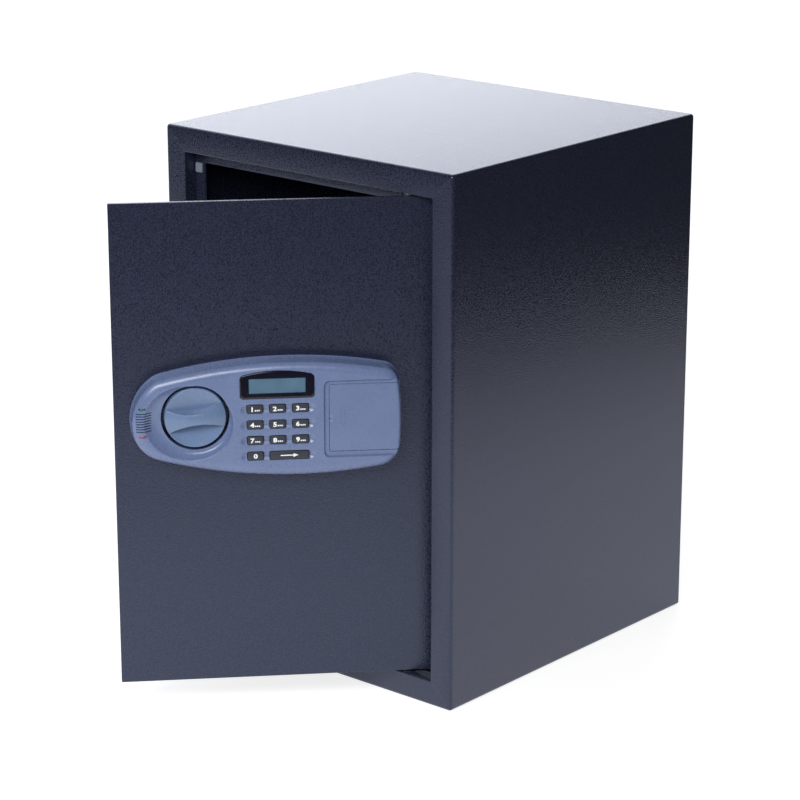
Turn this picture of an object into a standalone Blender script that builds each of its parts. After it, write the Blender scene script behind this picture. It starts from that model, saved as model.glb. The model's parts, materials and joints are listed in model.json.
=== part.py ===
"""An in-room safe with its door ajar: a folded steel cabinet, a plate door on concealed pivots,
and a keypad lock whose knob slides two bolts. Run it with blender --background --python part.py.

Lengths below are millimetres and angles degrees. Shapes are drawn as if the door were shut, with
x to the right, y to the back and z up, from the floor under the middle of the cabinet's front
edge. Each joint has an empty or an origin on its axis, and the door's empty then swings it ajar.
"""

import math

import bmesh
import bpy
from mathutils import Matrix, Vector

MM = 0.001
GAP = 0.3  # between two pieces that rest on each other
RUNNING = 0.1  # radial clearance of a shaft in its bore

# Cabinet
WIDTH, DEPTH, HEIGHT = 350.0, 360.0, 500.0
SHEET = 2.0
STRIP = 24.0  # front strip round the opening
RETURN = 15.0  # how far the strip turns back beside the door
LIP = 11.0  # door stop, turned in behind the door
BEND = 3.0  # outer bend radius
OPEN_X = WIDTH / 2 - STRIP
LIP_CUT_X = 104.0  # the lips stop here, clear of the door's swing
SHELF_Z, SHELF_FRONT, SHELF_BACK = 250.0, 62.0, 340.0
ANCHOR_X, ANCHOR_R = 100.0, 6.0  # fixing holes, in the floor and in the back
ANCHOR_FLOOR_Y, ANCHOR_BACK_Z = 200.0, 330.0

# Door
DOOR_X0, DOOR_X1 = -149.5, 148.5
DOOR_Z0, DOOR_Z1 = 26.5, 473.5
DOOR_Y, DOOR_PLATE = 1.0, 4.0
PIVOT = (115.5, 11.5)
AJAR = 47.2
PIN_R = 2.25
INSIDE = DOOR_Y + DOOR_PLATE + GAP  # where pieces on the door's inner face start

# Fascia: (centre x, centre z, radius) of its right, top, left and bottom sides, and the radii of
# the corners between them
FASCIA_SIDES = ((-212.5, 272.9, 319.5), (3.1, -144.5, 477.1), (-87.8, 276.6, 46.4), (14.9, 688.4, 464.2))
FASCIA_CORNERS = (16.8, 23.7, 32.7, 22.9)
FASCIA_BACK, FASCIA_FRONT, FASCIA_WALL = DOOR_Y - GAP, -19.5, 2.2
COVER_X, COVER_Z0, COVER_Z1 = 41.0, 247.0, 309.0
COVER_BACK = -1.5
KEY_X = (-25.3, -5.2, 15.1)
KEY_Z = (289.3, 274.8, 260.3, 245.8)
KEY_WIDTH, KEY_HEIGHT, START_WIDTH, START_X = 14.3, 7.6, 34.9, 4.9
KEY_FRONT, KEY_BACK = -20.4, -15.6
LED_X, LED_Z = -124.6, (266.9, 292.2)
LCD = (-38.3, 27.5, 298.7, 319.8)  # left, right, bottom and the arched top's spring line
LCD_CROWN = 4.2
BOARD_Y = -12.0

# Knob and boltwork
KNOB = (-78.0, 282.0)
KNOB_R, KNOB_BACK, KNOB_FACE, GRIP_TOP = 29.5, -9.0, -18.5, -27.0
GRIP_TILT = 6.4
SHAFT_R, CRANK_R, CRANK_PIN_R = 4.0, 16.0, 2.5
CRANK_START = 30.0  # the crank pin's angle from upright, towards the hinge, with the bolts back
THROW = 16.0
CARRIAGE_Y, CARRIAGE_SHEET = 12.0, 3.0
BOLT_R, BOLT_Y, BOLT_Z = 7.0, 25.5, (215.0, 335.0)
BOLT_TIP, BOLT_TAIL = -136.5, -103.3
PLUNGER = (-55.0, CARRIAGE_Y + CARRIAGE_SHEET / 2)
PLUNGER_R, PLUNGER_TIP = 3.0, 312.0
COIL_Z0, COIL_Z1 = 321.8, 346.7
LOCK = (72.0, 278.0)
COVER_BOX = (-132.0, 100.0, 190.0, 375.0)  # inner cover: left, right, bottom and top
COVER_BOX_Y = 37.5
RESET = (85.0, 350.0)
SCREWS = ((-122.0, 185.0), (90.0, 185.0), (-122.0, 380.0), (90.0, 380.0))
LEAD_HOLE = (12.0, 299.0)
LEAD_STEPS = 3  # points of the wire's tube for each stretch of its route
LEAD_ROUTE = (
    (-47.2, 13.5, 340), (-38, 13.5, 341), (-20, 13, 336), (-2, 12, 320), (9, 8, 305),
    (12, 3, 299.5), (12, -5, 298.5), (12, -10, 298),
)

AXIS_X = Vector((1, 0, 0))
AXIS_Y = Vector((0, 1, 0))
AXIS_Z = Vector((0, 0, 1))

# Colour, roughness and metallic value of each finish
FINISHES = {
    "powder_coat": ((0.035, 0.040, 0.055), 0.55, 0.0),
    "fascia_plastic": ((0.19, 0.23, 0.36), 0.40, 0.0),
    "knob_plastic": ((0.15, 0.21, 0.32), 0.38, 0.0),
    "key_plastic": ((0.06, 0.07, 0.09), 0.45, 0.0),
    "bezel_plastic": ((0.01, 0.01, 0.02), 0.12, 0.0),
    "display": ((0.09, 0.19, 0.24), 0.15, 0.0),
    "led_green": ((0.03, 0.45, 0.30), 0.25, 0.0),
    "led_red": ((0.55, 0.03, 0.08), 0.25, 0.0),
    "steel": ((0.55, 0.56, 0.57), 0.30, 1.0),
    "brass": ((0.65, 0.48, 0.20), 0.30, 1.0),
    "rubber": ((0.03, 0.03, 0.03), 0.80, 0.0),
    "pale_pad": ((0.30, 0.33, 0.37), 0.70, 0.0),
    "felt": ((0.05, 0.05, 0.06), 0.95, 0.0),
    "black_plastic": ((0.02, 0.02, 0.02), 0.50, 0.0),
    "circuit_green": ((0.02, 0.18, 0.07), 0.45, 0.0),
    "battery_wrap": ((0.25, 0.26, 0.28), 0.30, 0.3),
    "copper": ((0.60, 0.25, 0.12), 0.35, 1.0),
}


# ---- Outlines, in the plane of the door, as lists of (x, z)


def circle(x, z, radius, sides):
    turn = 2 * math.pi / sides
    return [(x + radius * math.cos(i * turn), z + radius * math.sin(i * turn)) for i in range(sides)]


def rounded_rect(x0, x1, z0, z1, radius, steps=3):
    corners = ((x1, z0, -90), (x1, z1, 0), (x0, z1, 90), (x0, z0, 180))
    points = []
    for x, z, start in corners:
        cx = x - math.copysign(radius, x - (x0 + x1) / 2)
        cz = z - math.copysign(radius, z - (z0 + z1) / 2)
        for i in range(steps + 1):
            angle = math.radians(start + 90 * i / steps)
            points.append((cx + radius * math.cos(angle), cz + radius * math.sin(angle)))
    return points


def arched_rect(x0, x1, z0, spring, crown, steps=10):
    """A rectangle whose top edge is an arc that rises by crown above its two ends."""
    half = (x1 - x0) / 2
    radius = (half**2 + crown**2) / (2 * crown)
    reach = math.asin(half / radius)
    points = [(x0, z0), (x1, z0)]
    for i in range(steps + 1):
        angle = reach * (1 - 2 * i / steps)
        rise = radius * math.cos(angle) - (radius - crown)
        points.append(((x0 + x1) / 2 + radius * math.sin(angle), spring + rise))
    return points


def corner_centre(first, second, radius, towards):
    """Centre of the circle that rounds the corner between two of the fascia's sides."""
    (ax, az, ar), (bx, bz, br) = first, second
    near, far = ar - radius, br - radius
    span = math.hypot(bx - ax, bz - az)
    ux, uz = (bx - ax) / span, (bz - az) / span
    along = (near**2 - far**2 + span**2) / (2 * span)
    across = math.sqrt(near**2 - along**2)
    ends = [(ax + ux * along - uz * side * across, az + uz * along + ux * side * across)
            for side in (1, -1)]
    return max(ends, key=lambda end: end[0] * towards[0] + end[1] * towards[1])


def fascia_outline(inset, side_steps=6, corner_steps=5):
    """Four long arcs and the four corner arcs between them, all drawn in by the inset."""
    centres = [
        corner_centre(FASCIA_SIDES[i], FASCIA_SIDES[(i + 1) % 4], FASCIA_CORNERS[i], towards)
        for i, towards in enumerate(((1, 1), (-1, 1), (-1, -1), (1, -1)))
    ]
    points = []
    for i, (cx, cz, radius) in enumerate(FASCIA_SIDES):
        nx, nz, _ = FASCIA_SIDES[(i + 1) % 4]
        before, after = centres[i - 1], centres[i]
        start = math.atan2(before[1] - cz, before[0] - cx)
        end = math.atan2(after[1] - cz, after[0] - cx)
        points += arc_points(cx, cz, radius - inset, start, end, side_steps)
        next_start = math.atan2(after[1] - nz, after[0] - nx)
        points += arc_points(*after, FASCIA_CORNERS[i] - inset, end, next_start, corner_steps)
    return points


def arc_points(cx, cz, radius, start, end, steps):
    sweep = (end - start) % (2 * math.pi)
    angles = [start + sweep * i / steps for i in range(steps)]
    return [(cx + radius * math.cos(angle), cz + radius * math.sin(angle)) for angle in angles]


def grip_outline(half_length, half_end, half_waist, steps=8):
    """A bar with round ends whose two long sides sag inwards to a waist, turned to its tilt."""
    points = []
    for side in (1, -1):
        for i in range(steps + 1):
            u = side * (1 - 2 * i / steps)
            points.append((u * (half_length - 5), side * (half_waist + (half_end - half_waist) * u * u)))
        points.append((-side * half_length, 0.0))
    turn = math.radians(GRIP_TILT)
    return [
        (KNOB[0] + x * math.cos(turn) - z * math.sin(turn),
         KNOB[1] + x * math.sin(turn) + z * math.cos(turn))
        for x, z in points
    ]


# ---- Solids, added to a bmesh


def loft(bm, rings, capped=True):
    """Skins a stack of rings. It is capped at both ends, or its last ring joins its first."""
    rows = [[bm.verts.new(point) for point in ring] for ring in rings]
    pairs = list(zip(rows, rows[1:]))
    if not capped:
        pairs.append((rows[-1], rows[0]))
    for low, high in pairs:
        for i in range(len(low)):
            j = (i + 1) % len(low)
            bm.faces.new((low[i], low[j], high[j], high[i]))
    if capped:
        bm.faces.new(rows[0])
        bm.faces.new(rows[-1])


def at_depth(outline, y):
    return [(x, y, z) for x, z in outline]


def prism(bm, outline, y0, y1):
    loft(bm, [at_depth(outline, y0), at_depth(outline, y1)])


def box(bm, x0, x1, y0, y1, z0, z1):
    prism(bm, [(x0, z0), (x1, z0), (x1, z1), (x0, z1)], y0, y1)


def turned(bm, start, axis, profile, sides=20, capped=True):
    """A turned solid: the profile's (distance along the axis, radius) pairs, spun round it."""
    across = axis.orthogonal().normalized()
    other = axis.cross(across)
    rings = []
    for along, radius in profile:
        centre = Vector(start) + axis * along
        turn = 2 * math.pi / sides
        rings.append([
            centre + (across * math.cos(i * turn) + other * math.sin(i * turn)) * radius
            for i in range(sides)
        ])
    loft(bm, rings, capped)


def tube(bm, start, axis, length, outer, inner, sides=20):
    turned(bm, start, axis, ((0, outer), (length, outer), (length, inner), (0, inner)), sides, False)


def rod(bm, start, axis, length, radius, sides=20):
    turned(bm, start, axis, ((0, radius), (length, radius)), sides)


# ---- Objects


def clear_scene():
    for obj in list(bpy.data.objects):
        bpy.data.objects.remove(obj, do_unlink=True)


def finish(name):
    """The material of a finish, made once."""
    material = bpy.data.materials.get(name)
    if material is None:
        colour, roughness, metallic = FINISHES[name]
        material = bpy.data.materials.new(name)
        material.use_nodes = True
        shader = material.node_tree.nodes["Principled BSDF"]
        shader.inputs["Base Color"].default_value = (*colour, 1.0)
        shader.inputs["Roughness"].default_value = roughness
        shader.inputs["Metallic"].default_value = metallic
    return material


def add_empty(name, origin, parent=None, parent_origin=(0, 0, 0)):
    empty = bpy.data.objects.new(name, None)
    empty.parent = parent
    empty.location = (Vector(origin) - Vector(parent_origin)) * MM
    bpy.context.collection.objects.link(empty)
    return empty


class Group:
    """The pieces that hang on one empty, which stands at origin in the drawn, door-shut place."""

    def __init__(self, empty, origin):
        self.empty = empty
        self.origin = Vector(origin)

    def add(self, name, bm, material, pivot=None, smooth=35.0):
        """Turns a bmesh into an object whose own origin is at pivot."""
        pivot = self.origin if pivot is None else Vector(pivot)
        bmesh.ops.recalc_face_normals(bm, faces=bm.faces)
        bmesh.ops.transform(bm, matrix=Matrix.Scale(MM, 4) @ Matrix.Translation(-pivot), verts=bm.verts)
        mesh = bpy.data.meshes.new(name)
        bm.to_mesh(mesh)
        bm.free()
        mesh.shade_smooth()
        mesh.set_sharp_from_angle(angle=math.radians(smooth))
        obj = bpy.data.objects.new(name, mesh)
        if material:
            mesh.materials.append(finish(material))
        obj.parent = self.empty
        obj.location = (pivot - self.origin) * MM
        bpy.context.collection.objects.link(obj)
        return obj

    def boolean(self, target, bm, operation="DIFFERENCE"):
        """Cuts, intersects or joins the target with the solids in a bmesh."""
        cutter = self.add(f"{target.name}_{operation.lower()}", bm, None)
        cutter.hide_render = True
        cutter.display_type = "WIRE"
        modifier = target.modifiers.new(operation.title(), "BOOLEAN")
        modifier.object = cutter
        modifier.operation = operation
        modifier.solver = "EXACT"


# ---- Cabinet


def frame_ring(inset, y):
    radius = max(BEND - inset, 0.8)
    return at_depth(rounded_rect(-WIDTH / 2 + inset, WIDTH / 2 - inset, inset, HEIGHT - inset, radius), y)


def build_shell(cabinet):
    """Sheet folded round as wrap, front strip, return and door-stop lip: one section, swept."""
    flange, lip_edge = STRIP - SHEET, STRIP + LIP
    section = (
        (0, DEPTH), (0, BEND), (BEND * 0.3, BEND * 0.3), (BEND, 0),
        (STRIP - 1.2, 0), (STRIP - 0.35, 0.35), (STRIP, 1.2), (STRIP, RETURN),
        (lip_edge, RETURN), (lip_edge, RETURN + SHEET), (flange, RETURN + SHEET),
        (flange, SHEET + 0.6), (flange - 0.6, SHEET), (SHEET + 1.2, SHEET), (SHEET, SHEET + 1.2),
        (SHEET, DEPTH),
    )
    bm = bmesh.new()
    loft(bm, [frame_ring(inset, y) for inset, y in section], capped=False)
    shell = cabinet.add("cabinet_shell", bm, "powder_coat", smooth=40)
    cuts = bmesh.new()
    margin = 0.15  # stub of the lip left at the fold
    box(cuts, LIP_CUT_X, OPEN_X - margin, RETURN - margin, RETURN + SHEET + 3,
        STRIP + margin, HEIGHT - STRIP - margin)
    pin_hole(cuts, STRIP - SHEET - 4)
    pin_hole(cuts, HEIGHT - STRIP - 4)
    for side in (-1, 1):
        rod(cuts, (side * ANCHOR_X, ANCHOR_FLOOR_Y, -3), AXIS_Z, 10, ANCHOR_R)
    cabinet.boolean(shell, cuts)


def pin_hole(bm, start):
    rod(bm, (*PIVOT, start), AXIS_Z, 10, PIN_R + RUNNING)


def build_back_panel(cabinet):
    inset = SHEET + GAP
    bm = bmesh.new()
    box(bm, inset - WIDTH / 2, WIDTH / 2 - inset, DEPTH - SHEET, DEPTH, inset, HEIGHT - inset)
    panel = cabinet.add("back_panel", bm, "powder_coat")
    cuts = bmesh.new()
    for side in (-1, 1):
        rod(cuts, (side * ANCHOR_X, DEPTH - 5, ANCHOR_BACK_Z), AXIS_Y, 10, ANCHOR_R)
    cabinet.boolean(panel, cuts)


def build_shelf(cabinet):
    """A sheet with its front edge turned down, and the two angle rails that it lies on."""
    half, thick, turndown = WIDTH / 2 - SHEET - 1.5, 1.5, 15.0
    section = (
        (SHELF_FRONT, SHELF_Z - turndown), (SHELF_FRONT + thick, SHELF_Z - turndown),
        (SHELF_FRONT + thick, SHELF_Z - thick), (SHELF_BACK, SHELF_Z - thick),
        (SHELF_BACK, SHELF_Z), (SHELF_FRONT, SHELF_Z),
    )
    bm = bmesh.new()
    loft(bm, [[(side * half, y, z) for y, z in section] for side in (-1, 1)])
    cabinet.add("shelf", bm, "powder_coat")
    wall, leg = WIDTH / 2 - SHEET - GAP, 15.0
    top = SHELF_Z - thick - GAP
    for name, side in (("left", -1), ("right", 1)):
        angle = [(wall, top), (wall, top - leg), (wall - thick, top - leg),
                 (wall - thick, top - thick), (wall - leg, top - thick), (wall - leg, top)]
        bm = bmesh.new()
        prism(bm, [(side * x, z) for x, z in angle], SHELF_FRONT + 6, SHELF_BACK)
        cabinet.add(f"shelf_rail_{name}", bm, "powder_coat")


def build_floor_mat(cabinet):
    bottom = SHEET + GAP
    bm = bmesh.new()
    half = WIDTH / 2 - SHEET - 2
    loft(bm, [
        [(x, y, z) for x, y in ((-half, 22), (half, 22), (half, DEPTH - 5), (-half, DEPTH - 5))]
        for z in (bottom, bottom + 3)
    ])
    mat = cabinet.add("floor_mat", bm, "felt")
    cuts = bmesh.new()
    for side in (-1, 1):
        rod(cuts, (side * ANCHOR_X, ANCHOR_FLOOR_Y, 0), AXIS_Z, 10, ANCHOR_R + 3)
    cabinet.boolean(mat, cuts)


def build_bump_stop(cabinet):
    bm = bmesh.new()
    prism(bm, rounded_rect(-149.6, -141.5, 455.5, 464.5, 1.0), RETURN - GAP - 2, RETURN - GAP)
    cabinet.add("bump_stop", bm, "pale_pad")


def build_hinge_washers(cabinet):
    for name, z in (("lower", STRIP + GAP), ("upper", HEIGHT - STRIP - GAP - 2.4)):
        bm = bmesh.new()
        tube(bm, (*PIVOT, z), AXIS_Z, 2.4, 5.0, PIN_R + 2 * RUNNING)
        cabinet.add(f"hinge_washer_{name}", bm, "steel")


# ---- Door and hinges


def build_door_panel(door):
    bm = bmesh.new()
    prism(bm, rounded_rect(DOOR_X0, DOOR_X1, DOOR_Z0, DOOR_Z1, 1.0, steps=2), DOOR_Y, DOOR_Y + DOOR_PLATE)
    panel = door.add("door_panel", bm, "powder_coat")
    cuts = bmesh.new()
    for (x, z), radius in ((KNOB, 7.3), (LOCK, 7.3), (LEAD_HOLE, 5.0)):
        rod(cuts, (x, DOOR_Y - 3, z), AXIS_Y, DOOR_PLATE + 6, radius)
    for x, z in SCREWS:
        rod(cuts, (x, DOOR_Y + 1.5, z), AXIS_Y, 6, 2.3, sides=12)
    door.boolean(panel, cuts)


def build_hinge_side(door, name, flip):
    """A bracket inside the door, and the pivot pin that it holds. flip mirrors z for the lower."""
    def height(z):
        return HEIGHT - z if flip else z

    plate_top, tab_depth = HEIGHT - STRIP - 3.0, 18.0
    x0, x1 = 108.0, 130.0
    section = (
        (INSIDE, height(plate_top)), (INSIDE, height(430.0)), (INSIDE + 3, height(430.0)),
        (INSIDE + 3, height(plate_top - 3)), (tab_depth, height(plate_top - 3)),
        (tab_depth, height(plate_top)),
    )
    bm = bmesh.new()
    loft(bm, [[(x, y, z) for y, z in section] for x in (x0, x1)])
    bracket = door.add(f"hinge_bracket_{name}", bm, "steel")
    cuts = bmesh.new()
    rod(cuts, (*PIVOT, height(plate_top) - 6), AXIS_Z, 12, PIN_R + RUNNING)
    door.boolean(bracket, cuts)
    low, high = sorted((height(464.0), height(480.0)))
    bm = bmesh.new()
    turned(bm, (*PIVOT, low), AXIS_Z, ((0, PIN_R - 0.4), (0.6, PIN_R), (high - low - 0.6, PIN_R),
                                       (high - low, PIN_R - 0.4)))
    door.add(f"hinge_pin_{name}", bm, "steel")


# ---- Fascia


def fascia_cup(bm):
    """The moulding as a closed cup: its domed outside, the rim on the door, and the hollow."""
    outer = ((0, FASCIA_BACK), (2.2, -15.7), (3.4, -17.1), (5.2, -18.4), (7.2, -19.2), (9.6, FASCIA_FRONT))
    inner = ((2.4, FASCIA_BACK), (4.4, -13.9), (5.6, -15.2), (7.4, -16.4), (9.4, -17.1),
             (11.8, FASCIA_FRONT + FASCIA_WALL))
    loft(bm, [at_depth(fascia_outline(inset), y) for inset, y in (*reversed(outer), *inner)])


def key_places():
    """Name, centre and width of each key: rows of three, then the zero and the wide key."""
    places = [("key_0", KEY_X[0], KEY_Z[3], KEY_WIDTH), ("key_start", START_X, KEY_Z[3], START_WIDTH)]
    for number in range(9):
        places.append((f"key_{number + 1}", KEY_X[number % 3], KEY_Z[number // 3], KEY_WIDTH))
    return places


def build_fascia(door):
    bm = bmesh.new()
    fascia_cup(bm)
    fascia = door.add("fascia", bm, "fascia_plastic")
    front, behind = FASCIA_FRONT - 5, FASCIA_FRONT + 8
    cuts = bmesh.new()
    prism(cuts, circle(*KNOB, KNOB_R + 1.2, sides=40), front, behind)
    x0, x1, z0, spring = LCD
    prism(cuts, arched_rect(x0 - GAP, x1 + GAP, z0 - GAP, spring + GAP, LCD_CROWN), front, behind)
    for _, x, z, width in key_places():
        prism(cuts, rounded_rect(x - width / 2 - 0.5, x + width / 2 + 0.5,
                                 z - KEY_HEIGHT / 2 - 0.5, z + KEY_HEIGHT / 2 + 0.5, 1.8), front, behind)
    for z in LED_Z:
        prism(cuts, rounded_rect(LED_X - 3.3, LED_X + 3.3, z - 1.3, z + 1.3, 0.8), front, behind)
    box(cuts, COVER_X - 0.4, 130, front, COVER_BACK + 0.4, COVER_Z0 - 0.4, COVER_Z1 + 0.4)
    door.boolean(fascia, cuts)


def build_battery_cover(door):
    """The stretch of the same moulding over the battery bay, round its hinge-side edge."""
    bm = bmesh.new()
    fascia_cup(bm)
    cover = door.add("battery_cover", bm, "fascia_plastic", pivot=(COVER_X, 0, (COVER_Z0 + COVER_Z1) / 2))
    keep = bmesh.new()
    box(keep, COVER_X, 130, FASCIA_FRONT - 5, COVER_BACK, COVER_Z0, COVER_Z1)
    door.boolean(cover, keep, "INTERSECT")


def build_display(door):
    x0, x1, z0, spring = LCD
    bm = bmesh.new()
    prism(bm, arched_rect(x0, x1, z0, spring, LCD_CROWN), -20.2, -16.8)
    window = door.add("lcd_window", bm, "bezel_plastic")
    cuts = bmesh.new()
    prism(cuts, rounded_rect(-30.7, 19.8, 303.3, 317.3, 1.0), -25, -10)
    door.boolean(window, cuts)
    bm = bmesh.new()
    prism(bm, rounded_rect(-33, 22, 301, 319, 0.5), -16.5, -13.5)
    door.add("lcd_panel", bm, "display")


def build_status_lights(door):
    for name, z in zip(("led_red", "led_green"), LED_Z):
        bm = bmesh.new()
        prism(bm, rounded_rect(LED_X - 3, LED_X + 3, z - 1, z + 1, 0.6), -19.6, -14)
        door.add(name, bm, name)
    bm = bmesh.new()
    rod(bm, (-121.0, -14.0, 279.5), AXIS_Y, 5, 6)
    door.add("buzzer", bm, "black_plastic")


def build_keypad(door):
    for name, x, z, width in key_places():
        bm = bmesh.new()
        half, tall, chamfer = width / 2, KEY_HEIGHT / 2, 0.5
        loft(bm, [
            at_depth(rounded_rect(x - half + inset, x + half - inset, z - tall + inset, z + tall - inset,
                                  1.5 - inset), y)
            for inset, y in ((0, KEY_BACK), (0, KEY_FRONT + chamfer), (chamfer, KEY_FRONT))
        ])
        door.add(name, bm, "key_plastic", pivot=(x, KEY_BACK, z))
    bm = bmesh.new()
    prism(bm, rounded_rect(-37, 27, 237, 294.5, 2), KEY_BACK + 1.3, KEY_BACK + 2.9)
    door.add("keypad_mat", bm, "rubber")
    bm = bmesh.new()
    prism(bm, rounded_rect(-44, 37, 235, 322, 2), BOARD_Y, BOARD_Y + 1.6)
    door.add("circuit_board", bm, "circuit_green")


def build_batteries(door):
    """An open tray with four AA cells side by side, laid across the bay."""
    x0, x1, z0, z1 = 43.5, 99.5, 246.6, 309.4
    wall, floor = 1.2, -0.6
    bm = bmesh.new()
    loft(bm, [
        at_depth(rounded_rect(x0 + inset, x1 - inset, z0 + inset, z1 - inset, 2 - inset), y)
        for inset, y in ((0, FASCIA_BACK), (0, -12), (wall, -12), (wall, floor))
    ])
    tray = door.add("battery_tray", bm, "black_plastic")
    cuts = bmesh.new()
    rod(cuts, (LOCK[0], -5, LOCK[1]), AXIS_Y, 10, 7.4)
    door.boolean(tray, cuts)
    length, radius, pitch = 50.5, 7.15, 14.8
    for i in range(4):
        z = (z0 + z1) / 2 + (i - 1.5) * pitch
        way = 1 if i % 2 else -1
        start = ((x0 + x1) / 2 - way * length / 2, -8.6, z)
        bm = bmesh.new()
        turned(bm, start, AXIS_X * way, (
            (0, radius - 1), (0.8, radius), (length - 2.2, radius), (length - 1.4, radius - 1),
            (length - 1.4, 2.75), (length, 2.75)), sides=20)
        door.add(f"battery_{i + 1}", bm, "battery_wrap")


# ---- Locks, knob and boltwork


def build_override_lock(door):
    x, z = LOCK
    bm = bmesh.new()
    tube(bm, (x, -0.7, z), AXIS_Y, 22.7, 7.0, 4.6)
    door.add("lock_barrel", bm, "steel")
    bm = bmesh.new()
    rod(bm, (x, -0.9, z), AXIS_Y, 25.3, 4.5)
    plug = door.add("lock_plug", bm, "brass", pivot=(x, 0, z))
    cam = bmesh.new()
    prism(cam, rounded_rect(x - 6, x + 6, z - 6, z + 24, 5.5), 22.4, 24.4)
    door.boolean(plug, cam, "UNION")
    slot = bmesh.new()
    box(slot, x - 0.6, x + 0.6, -3, 6, z - 3.2, z + 3.2)
    door.boolean(plug, slot)


def crank_pin():
    angle = math.radians(CRANK_START)
    return KNOB[0] + CRANK_R * math.sin(angle), KNOB[1] + CRANK_R * math.cos(angle)


def build_knob(door):
    x, z = KNOB
    bm = bmesh.new()
    turned(bm, (x, 0, z), AXIS_Y, (
        (KNOB_FACE, KNOB_R - 3.5), (KNOB_FACE + 0.6, KNOB_R - 1), (KNOB_FACE + 2, KNOB_R),
        (KNOB_BACK, KNOB_R), (KNOB_BACK, 8), (-2.5, 8), (-2.5, SHAFT_R + GAP),
        (-14, SHAFT_R + GAP)), sides=40)
    knob = door.add("knob", bm, "knob_plastic", pivot=(x, 0, z))
    grip = bmesh.new()
    loft(grip, [
        at_depth(grip_outline(*size), y)
        for size, y in (((25.5, 13, 9), KNOB_FACE + 3), ((25, 12, 8), -25.5),
                        ((23.5, 10.5, 6.5), GRIP_TOP))
    ])
    door.boolean(knob, grip, "UNION")
    pin_x, pin_z = crank_pin()
    bm = bmesh.new()
    rod(bm, (x, -13.6, z), AXIS_Y, 21, SHAFT_R)
    shaft = door.add("crank_shaft", bm, "steel", pivot=(x, 0, z))
    arm = bmesh.new()
    lean = math.atan2(pin_z - z, pin_x - x)
    quarter = math.pi / 2
    outline = arc_points(x, z, 8, lean + quarter, lean - quarter, 10)
    outline += arc_points(pin_x, pin_z, 5, lean - quarter, lean + quarter, 8)
    prism(arm, outline, 6.4, 9.4)
    door.boolean(shaft, arm, "UNION")
    pin = bmesh.new()
    rod(pin, (pin_x, 8, pin_z), AXIS_Y, CARRIAGE_Y + CARRIAGE_SHEET + 0.6 - 8, CRANK_PIN_R)
    door.boolean(shaft, pin, "UNION")
    bm = bmesh.new()
    bore = SHAFT_R + RUNNING
    turned(bm, (x, 0, z), AXIS_Y, ((-1.4, bore), (-1.4, 10), (DOOR_Y - GAP, 10), (DOOR_Y - GAP, 7),
                                   (5.8, 7), (5.8, bore)), capped=False)
    door.add("knob_bushing", bm, "black_plastic")


def build_carriage(door):
    """The plate that carries both bolts: crank-pin slot, folded bolt flange, and the plunger's ramp."""
    flange = BOLT_TAIL + CARRIAGE_SHEET
    low, high = BOLT_Z[0] - 10, BOLT_Z[1] + 10
    ramp_x, ramp_top, ramp_run = PLUNGER[0] - 2, PLUNGER_TIP, 20.0
    neck = BOLT_TAIL + 13
    outline = [(BOLT_TAIL, low), (neck, low), (neck, 250), (ramp_x + ramp_run + 3, 250),
               (ramp_x + ramp_run + 3, ramp_top - ramp_run / 4),
               (ramp_x + ramp_run, ramp_top - ramp_run / 4),
               (ramp_x, ramp_top), (neck, ramp_top), (neck, high), (BOLT_TAIL, high)]
    bm = bmesh.new()
    prism(bm, outline, CARRIAGE_Y, CARRIAGE_Y + CARRIAGE_SHEET)
    carriage = door.add("bolt_carriage", bm, "steel")
    fold = bmesh.new()
    box(fold, BOLT_TAIL, flange, CARRIAGE_Y, BOLT_Y + 8, low, high)
    door.boolean(carriage, fold, "UNION")
    pin_x, _ = crank_pin()
    slot_half = CRANK_PIN_R + 0.5
    cuts = bmesh.new()
    prism(cuts, rounded_rect(pin_x - slot_half, pin_x + slot_half, KNOB[1] + CRANK_R * 0.866 - 4.5,
                             KNOB[1] + CRANK_R + 4.5, slot_half - 0.1, steps=5), CARRIAGE_Y - 2,
          CARRIAGE_Y + CARRIAGE_SHEET + 2)
    for z in BOLT_Z:
        rod(cuts, (BOLT_TAIL - 3, BOLT_Y, z), AXIS_X, 9, 4.0 + GAP)
    door.boolean(carriage, cuts)


def build_bolts(door):
    for name, z in zip(("lower", "upper"), BOLT_Z):
        bm = bmesh.new()
        shoulder = BOLT_TAIL - GAP
        turned(bm, (0, BOLT_Y, z), AXIS_X, (
            (BOLT_TIP, BOLT_R - 1.5), (BOLT_TIP + 1.5, BOLT_R), (shoulder, BOLT_R), (shoulder, 4),
            (BOLT_TAIL + 7, 4)))
        door.add(f"bolt_{name}", bm, "steel")
        bm = bmesh.new()
        box(bm, -129.6, -121.0, INSIDE, BOLT_Y + 9.5, z - 11, z + 11)
        guide = door.add(f"bolt_guide_{name}", bm, "black_plastic")
        bore = bmesh.new()
        rod(bore, (-135, BOLT_Y, z), AXIS_X, 20, BOLT_R + RUNNING)
        door.boolean(guide, bore)


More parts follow.
